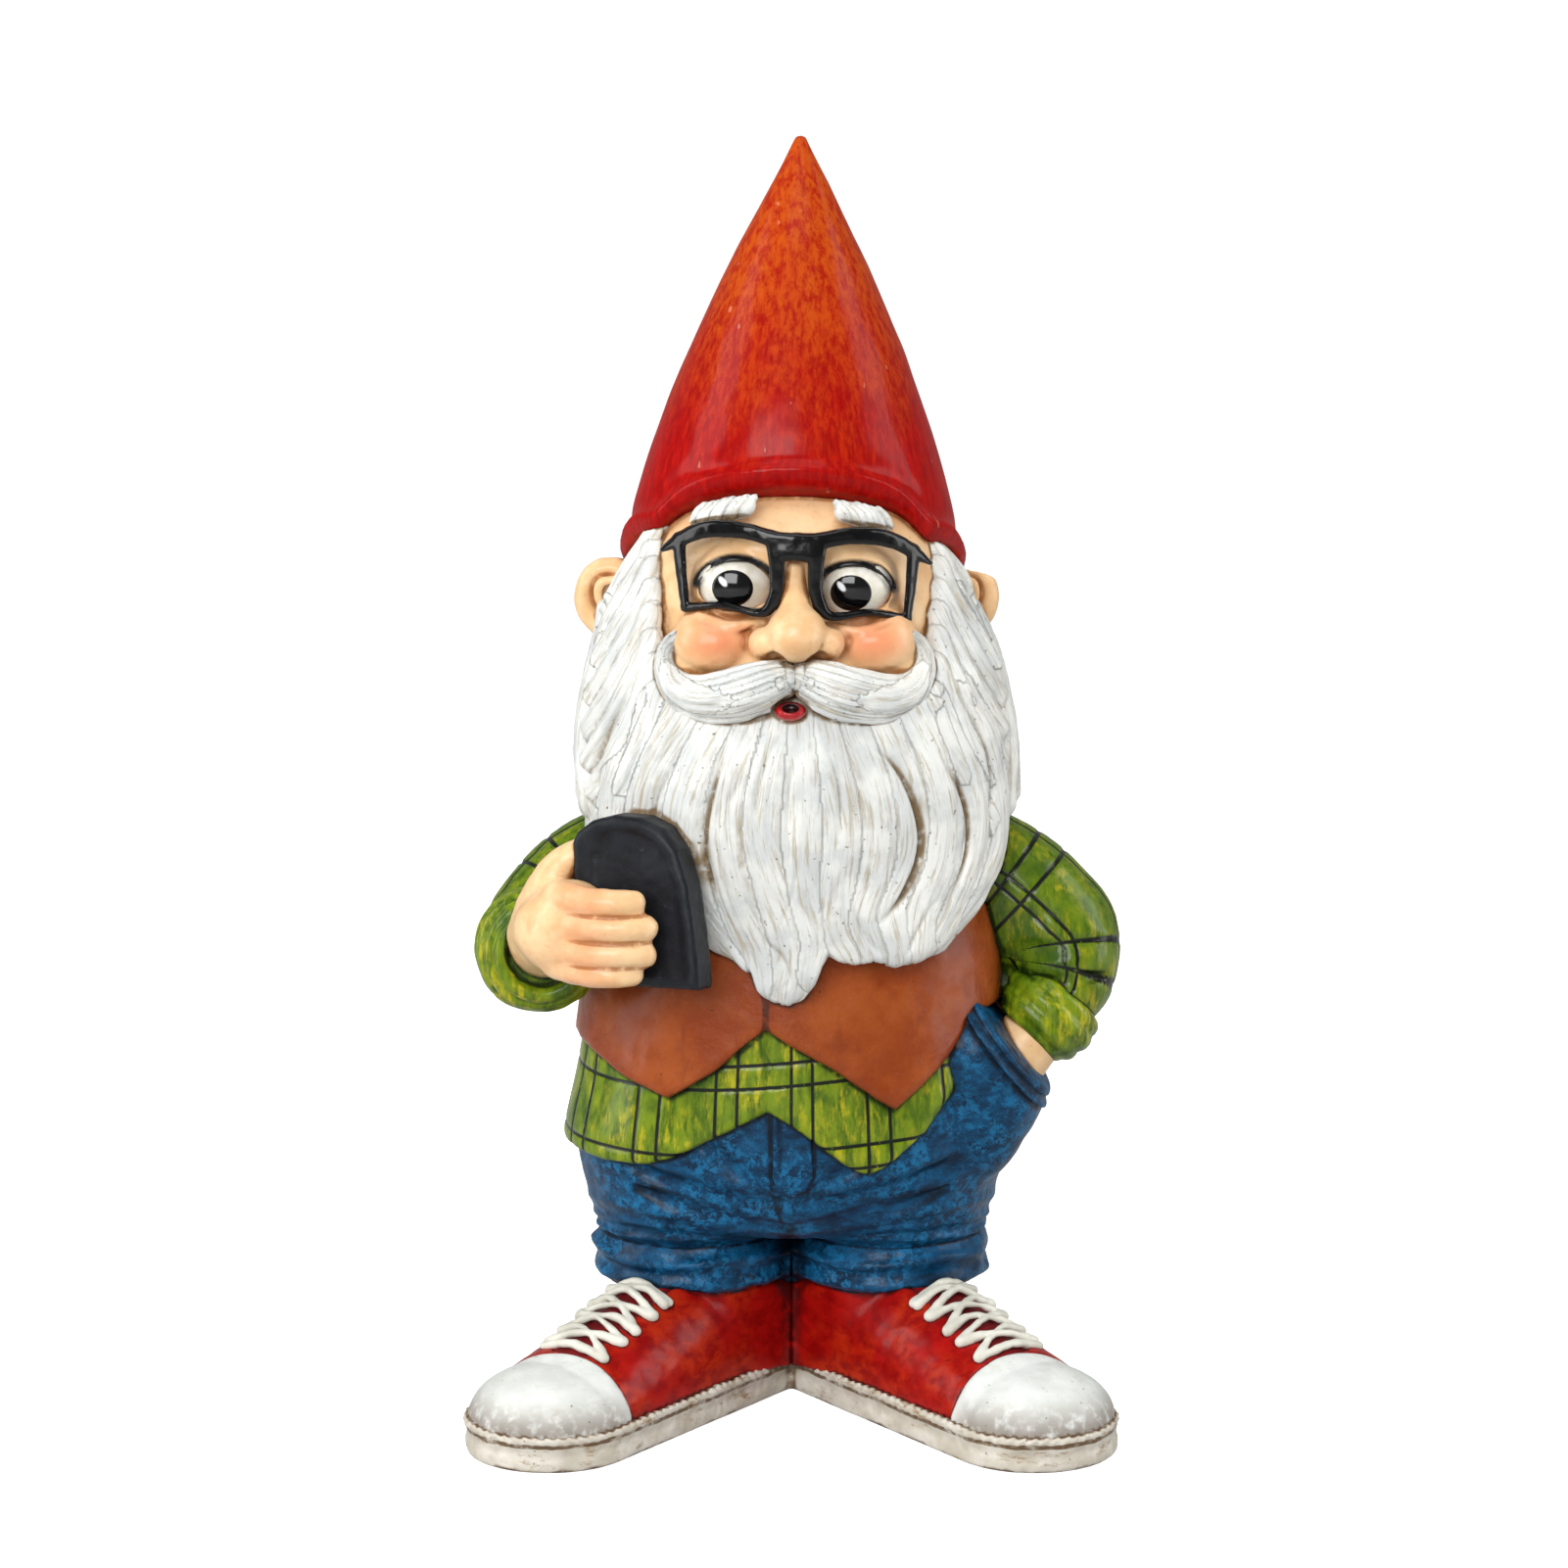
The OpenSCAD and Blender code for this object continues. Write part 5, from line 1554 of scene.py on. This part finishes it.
def build_trouser_cuffs():
    rows = [(28.8, 22.6), (30.8, 24.0), (34, 23.0), (37.2, 23.7), (41.4, 21.8)]
    columns = {s: loft([(z, s * LEG_X, LEG_Y, r, r) for z, r in rows], 0, 1.6) for s in (RIGHT, LEFT)}
    for s, side in ((RIGHT, "right"), (LEFT, "left")):
        clay = Clay((s * LEG_X - 28, -26, 25), (s * LEG_X + 28, 32, 45), 0.52)
        clay.add(Form(lambda x, y, z: smin(columns[s].dist(x, y, z), columns[-s].dist(x, y, z), 8)
                      - 0.8 * np.exp(-((z - 36.5 - 1.1 * np.sin(np.arctan2(x - s * LEG_X, -y) * 3)) / 1.0) ** 2)))
        clay.cut(loft([(20, s * LEG_X, LEG_Y, 17, 17), (48, s * LEG_X, LEG_Y, 17, 17)], 0, 0.3), 0.3)
        clay.keep(half_space((-s * 0.1, 0, 0), (-s, 0, 0)), 0.5)

        def marks_for(points, normals):
            # Darker where the two cuffs meet between the legs: painted shade.
            return {"stain": 0.8 * np.exp(-(points[:, 0] / 2.4) ** 2)}

        def worn(points, normals, marks):
            return 0.5 * lattice_noise(points / (8, 8, 3), 37) + 0.14 * lattice_noise(points / 2.2, 38)

        sculpt(side + "_trouser_cuff", clay, DENIM_PAINT, worn, marks_for)


# ---------- shoes ----------

TOE_R, HEEL_R = 20.0, 17.0
SPLAY = math.radians(37.7)
SHOE_SPAN = 69.5
HEEL = np.array([13.0, SOLE.hi[1] - HEEL_R])
TOE = HEEL + SHOE_SPAN * np.array([math.sin(SPLAY), -math.cos(SPLAY)])


def shoe_axes(x, y, s):
    """Distance back from the toe's centre and distance across, for one shoe."""
    dx, dy = x * s - TOE[0], y - TOE[1]
    back = -dx * math.sin(SPLAY) + dy * math.cos(SPLAY)
    across = dx * math.cos(SPLAY) + dy * math.sin(SPLAY)
    return back, across


def vamp_height(back):
    return 11.5 + 5.0 * back / 13


def shoe_distance(x, y, z, s, grow=0.0):
    back, across = shoe_axes(x, y, s)
    b = np.clip(back, 0, 52)
    wide = TOE_R - 1.2 - b / 26 + grow
    tall = vamp_height(b) + grow
    beyond = (back - b) / wide
    k0 = np.sqrt(beyond ** 2 + (across / wide) ** 2 + (np.maximum(z - SOLE_T, 0) / tall) ** 2)
    body = (k0 - 1) * np.minimum(wide, tall)
    stations = [(SOLE_T - 4, LEG_X - 6, LEG_Y + 2, 20, 19), (20, LEG_X - 4, LEG_Y + 2, 20, 20),
                (31, LEG_X - 1, LEG_Y, 20.6, 20.6)]
    ankle = loft(stations, grow, 1.0)
    out = smin(body, smin(ankle.dist(x * s, y, z), ankle.dist(-x * s, y, z), 7), 3.5)
    out = smax(out, z - 31.0, 0.5)
    out = smax(out, SOLE_T - 0.5 - z, 0.3)
    return smax(out, -0.1 - x * s, 0.4)


def shoe_box(s):
    xs = sorted((s * -2, s * (TOE[0] + TOE_R + 3)))
    return (xs[0], TOE[1] - TOE_R - 3, SOLE_T - 3), (xs[1], 30, 34)


def cap_region(s, grow=0.0):
    """A ball that takes in the front of the shoe, with a seam that bows toward the ankle."""
    ahead, inward = 9.6, -3.2
    x = TOE[0] + ahead * math.sin(SPLAY) + inward * math.cos(SPLAY)
    y = TOE[1] - ahead * math.cos(SPLAY) + inward * math.sin(SPLAY)
    return egg((s * x, y, SOLE_T - 4), [23.0 + grow] * 3)


TONGUE_W, TONGUE_FROM, TONGUE_TO = 5.0, 5.5, 31.0


def tongue_slot(s, grow=0.0):
    def dist(x, y, z):
        back, across = shoe_axes(x, y, s)
        spread = TONGUE_W + 0.05 * (back - TONGUE_FROM) + grow
        ends = np.maximum(TONGUE_FROM - grow - back, back - 60)
        return smax(np.abs(across) - spread, ends, 2.0) + 0 * z
    return Form(dist)


def build_shoes():
    canvas = canvas_paint()
    for s, side in ((RIGHT, "right"), (LEFT, "left")):
        body = Form(lambda x, y, z: shoe_distance(x, y, z, s))
        inner = Form(lambda x, y, z: shoe_distance(x, y, z, s, -1.1))
        clay = Clay(*shoe_box(s), 0.6)
        clay.add(body)
        clay.cut(cap_region(s, -SEAT), 0.5)
        slot = tongue_slot(s)
        clay.cut(Form(lambda x, y, z: smax(slot.dist(x, y, z), -inner.dist(x, y, z), 0.3)), 0.4)

        def creases(points, normals, marks):
            return 0.22 * lattice_noise(points / 9, 41) + 0.08 * lattice_noise(points / 2.4, 42)

        sculpt(side + "_shoe", clay, canvas, creases)


def build_toe_caps():
    white = worn_white_paint("toe cap paint", (232, 234, 230), (218, 221, 216), (176, 158, 126), 0.18)
    for s, side in ((RIGHT, "right"), (LEFT, "left")):
        lo, hi = shoe_box(s)
        clay = Clay(lo, (hi[0], TOE[1] + 24, hi[2]), 0.5)
        clay.add(Form(lambda x, y, z: shoe_distance(x, y, z, s, 0.55)))
        clay.keep(cap_region(s), 0.9)

        def dents(points, normals, marks):
            return 0.18 * lattice_noise(points / 6, 43) + 0.06 * lattice_noise(points / 1.8, 44)

        sculpt(side + "_toe_cap", clay, white, dents)


def build_tongues():
    dark = matte_paint("tongue paint", (92, 12, 16), (124, 24, 28), 0.4)
    for s, side in ((RIGHT, "right"), (LEFT, "left")):
        lo, hi = shoe_box(s)
        clay = Clay(lo, hi, 0.5)
        clay.add(Form(lambda x, y, z: shoe_distance(x, y, z, s, -0.7)))
        clay.cut(Form(lambda x, y, z: shoe_distance(x, y, z, s, -2.8)), 0.3)
        clay.keep(tongue_slot(s, 0.25), 0.3)
        clay.cut(cap_region(s, -0.2), 0.3)
        clay.keep(half_space((0, 0, 30.4), (0, 0, 1)), 0.3)

        def dents(points, normals, marks):
            return 0.15 * lattice_noise(points / 3, 45)

        sculpt(side + "_tongue", clay, dark, dents)


def on_vamp(s, across, back, lift):
    """A point on the top of the shoe."""
    b = min(max(back, 0), 52)
    wide = TOE_R - 1.2 - b / 26
    z = SOLE_T + vamp_height(b) * math.sqrt(1 - (across / wide) ** 2) + lift
    x = TOE[0] - back * math.sin(SPLAY) + across * math.cos(SPLAY)
    y = TOE[1] + back * math.cos(SPLAY) + across * math.sin(SPLAY)
    return [s * x, y, z]


def build_laces():
    cream = matte_paint("lace paint", (204, 202, 188), (230, 228, 216), 0.36, 0.1)
    for s, side in ((RIGHT, "right"), (LEFT, "left")):
        lo, hi = shoe_box(s)
        clay = Clay((lo[0], TOE[1] - 2, 16), (hi[0], -8, 38), 0.38)
        for i in range(4):
            start = 9.0 + 5.6 * i
            for way in (-1, 1):
                wobble = 0.7 * math.sin(3.1 * i + 2.2 * way)
                ends = [(way * 8.8, start + wobble, 0.3), (way * 3, start + 1.9 - 0.5 * wobble, 0.9),
                        (-way * 3, start + 3.9 - wobble, 0.9), (-way * 8.6, start + 5.4 + 0.6 * wobble, 0.3)]
                radii = (1.35, 0.85 + 0.12 * math.sin(5 * i + way), 0.9, 1.35)
                clay.add(tube([on_vamp(s, a, b, lift) + [r] for (a, b, lift), r in zip(ends, radii)]), 0.4)
        for start in (7.4, 31.6):
            bar = [(-9.0, start + 0.6, 0.3), (0, start, 0.8), (9.0, start + 0.4, 0.3)]
            clay.add(tube([on_vamp(s, a, b, lift) + [1.05] for a, b, lift in bar]), 0.4)

        def piped(points, normals, marks):
            return 0.26 * lattice_noise(points / 1.9, 46)

        sculpt(side + "_laces", clay, cream, piped)


def build_sole():
    clay = Clay((SOLE.lo[0] - 3, SOLE.lo[1] - 3, -2), (SOLE.hi[0] + 3, SOLE.hi[1] + 3, SOLE_T + 3), 0.52)

    def plan(x, y, s):
        toe = np.array([s * TOE[0], TOE[1], 0, TOE_R])
        heel = np.array([s * HEEL[0], HEEL[1], 0, HEEL_R])
        return bone_distance(x, y, 0.0, toe, heel)

    def dist(x, y, z):
        flat = smin(plan(x, y, RIGHT), plan(x, y, LEFT), 1.5)
        waist = 0.5 * np.exp(-((z - 4.2) / 1.3) ** 2)
        out = smax(flat + waist, np.abs(z - SOLE_T / 2) - SOLE_T / 2, 1.2)
        for s in (RIGHT, LEFT):
            back, across = shoe_axes(x, y, s)
            round_toe = np.arctan2(np.abs(across), -back) * TOE_R
            way = np.where(back < 0, round_toe, TOE_R * math.pi / 2 + back)
            rope = 1.0 + 0.24 * np.sin(2 * math.pi * (way / 2.6 + (z - SOLE_T) / 2.4))
            welt = np.sqrt((plan(x, y, s) + 0.7) ** 2 + (z - SOLE_T + 0.4) ** 2) - rope
            out = smin(out, smax(welt, -x * s, 0.5), 0.2)
        return out

    clay.add(Form(dist))
    clay.keep(half_space((0, 0, 0), (0, 0, -1)), 0.2)
    clay.cut(Form(lambda x, y, z: np.hypot(x - PLUG.mid[0], y - PLUG.mid[1]) - PLUG.size[0] / 2 - 0.1 + 0 * z), 0.3)
    worn = worn_white_paint("sole paint", (220, 214, 202), (196, 188, 172), (150, 120, 78), 0.85)

    def stains(points, normals):
        """Brown wash in the stitching and along the bottom edge."""
        z = points[:, 2]
        patchy = lattice_noise(points / 3.5, 51) + 0.6 * lattice_noise(points / 1.4, 52)
        welt = np.clip(1 - np.abs(z - SOLE_T + 1.6) / 0.8, 0, 1) * np.clip(0.75 + 0.5 * patchy, 0, 1)
        foot = np.clip(1 - z / 2.2, 0, 1) * np.clip(0.2 + 0.7 * patchy, 0, 1)
        return {"stain": 0.95 * welt + 0.6 * foot}

    def chips(points, normals, marks):
        above = np.clip(points[:, 2] / 1.5, 0, 1)
        return above * (0.3 * lattice_noise(points / 5, 47) + 0.18 * lattice_noise(points / 1.6, 48))

    sculpt("sole", clay, worn, chips, stains)


PLUG = Box("pour_plug")
SKIN_PAINT = skin_paint()
WHISKER_PAINT = whisker_paint()
DENIM_PAINT = denim_paint()

build_hat()
build_head()
build_eyes()
build_glasses()
build_eyebrows()
build_moustache()
build_lip()
build_beard()
build_hair()
build_shirt()
build_vest()
build_sleeves()
build_cuff_rolls()
build_right_hand()
build_left_hand()
build_phone()
build_trousers()
build_fly()
build_pocket_lip()
build_trouser_cuffs()
build_shoes()
build_toe_caps()
build_tongues()
build_laces()
build_sole()
finish_pieces()

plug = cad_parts["pour_plug"]
plug.data.materials.clear()
plug.data.materials.append(matte_paint("plug paint", (52, 52, 54), (74, 74, 76), 0.6))


# ---------- floor, camera and light ----------

def plain_material(name, colour, rough):
    material = bpy.data.materials.new(name)
    material.use_nodes = True
    shader = material.node_tree.nodes["Principled BSDF"]
    shader.inputs["Base Color"].default_value = colour
    shader.inputs["Roughness"].default_value = rough
    return material


def seen_by_ray(tree, socket, camera, glossy, diffuse):
    """Give a socket one level for each kind of ray that meets the surface."""
    rays = tree.nodes.new("ShaderNodeLightPath")
    total = None
    for kind, level in (("Camera", camera), ("Glossy", glossy), ("Diffuse", diffuse)):
        part = tree.nodes.new("ShaderNodeMath")
        part.operation = "MULTIPLY_ADD"
        tree.links.new(rays.outputs["Is %s Ray" % kind], part.inputs[0])
        part.inputs[1].default_value = level
        part.inputs[2].default_value = 0.0
        if total is not None:
            tree.links.new(total, part.inputs[2])
        total = part.outputs["Value"]
    tree.links.new(total, socket)


def build_floor():
    """A pale floor that curves up behind the figure: white when looked at, and dim as a light."""
    material = plain_material("floor", (0.9, 0.9, 0.9, 1), 1.0)
    tree = material.node_tree
    shader = tree.nodes["Principled BSDF"]
    seen_by_ray(tree, shader.inputs["Emission Strength"], 0.85, 0.26, 0.0)
    seen_by_ray(tree, shader.inputs["Base Color"], 0.92, 0.5, 0.4)
    shader.inputs["Emission Color"].default_value = (1, 1, 1, 1)
    profile = [(-3.0, 0.0)] + [(2.5 + 1.5 * math.sin(a), 1.5 - 1.5 * math.cos(a))
                               for a in np.linspace(0, math.pi / 2, 17)] + [(4.0, 5.0)]
    points = [(x, y, z) for y, z in profile for x in (-6, 6)]
    faces = [(2 * i, 2 * i + 1, 2 * i + 3, 2 * i + 2) for i in range(len(profile) - 1)]
    mesh = bpy.data.meshes.new("floor")
    mesh.from_pydata(points, [], faces)
    mesh.materials.append(material)
    floor = bpy.data.objects.new("floor", mesh)
    bpy.context.scene.collection.objects.link(floor)


def build_world():
    """White where the camera looks past the floor, and a dim fill for everything else."""
    world = bpy.data.worlds.new("studio")
    bpy.context.scene.world = world
    world.use_nodes = True
    tree = world.node_tree
    background = tree.nodes["Background"]
    seen_by_ray(tree, background.inputs["Strength"], 1.0, 0.22, 0.22)
    background.inputs["Color"].default_value = (1, 1, 1, 1)


def soft_box(name, place, target, width, height, power):
    light = bpy.data.lights.new(name, "AREA")
    light.shape, light.size, light.size_y, light.energy = "RECTANGLE", width, height, power
    lamp = bpy.data.objects.new(name, light)
    bpy.context.scene.collection.objects.link(lamp)
    lamp.location = place
    lamp.rotation_euler = (Vector(target) - Vector(place)).to_track_quat("-Z", "Y").to_euler()


def build_light(height):
    middle = (0, 0, height * 0.5)
    soft_box("left box", (-0.9, -0.15, 0.45), middle, 0.4, 0.9, 4.6)
    soft_box("right box", (0.9, -0.08, 0.42), middle, 0.4, 0.9, 4.2)
    soft_box("key box", (-0.32, -1.15, 0.62), middle, 0.8, 0.6, 13.0)
    soft_box("top box", (0, -0.25, 1.1), middle, 0.7, 0.7, 3.0)


def build_camera(height):
    distance, elevation = height * 1.1 / 0.3, math.radians(10)
    camera = bpy.data.cameras.new("camera")
    camera.sensor_width = 36
    camera.lens = 107
    camera.shift_x, camera.shift_y = -0.0047, -0.0049
    holder = bpy.data.objects.new("camera", camera)
    bpy.context.scene.collection.objects.link(holder)
    target = Vector((0, 0, height / 2))
    holder.location = target + Vector((0, -math.cos(elevation), math.sin(elevation))) * distance
    holder.rotation_euler = (target - holder.location).to_track_quat("-Z", "Y").to_euler()
    bpy.context.scene.camera = holder


figure_height = cad_bounds[1].z - cad_bounds[0].z
build_floor()
build_world()
build_light(figure_height)
build_camera(figure_height)
bpy.context.scene.view_settings.view_transform = "Standard"
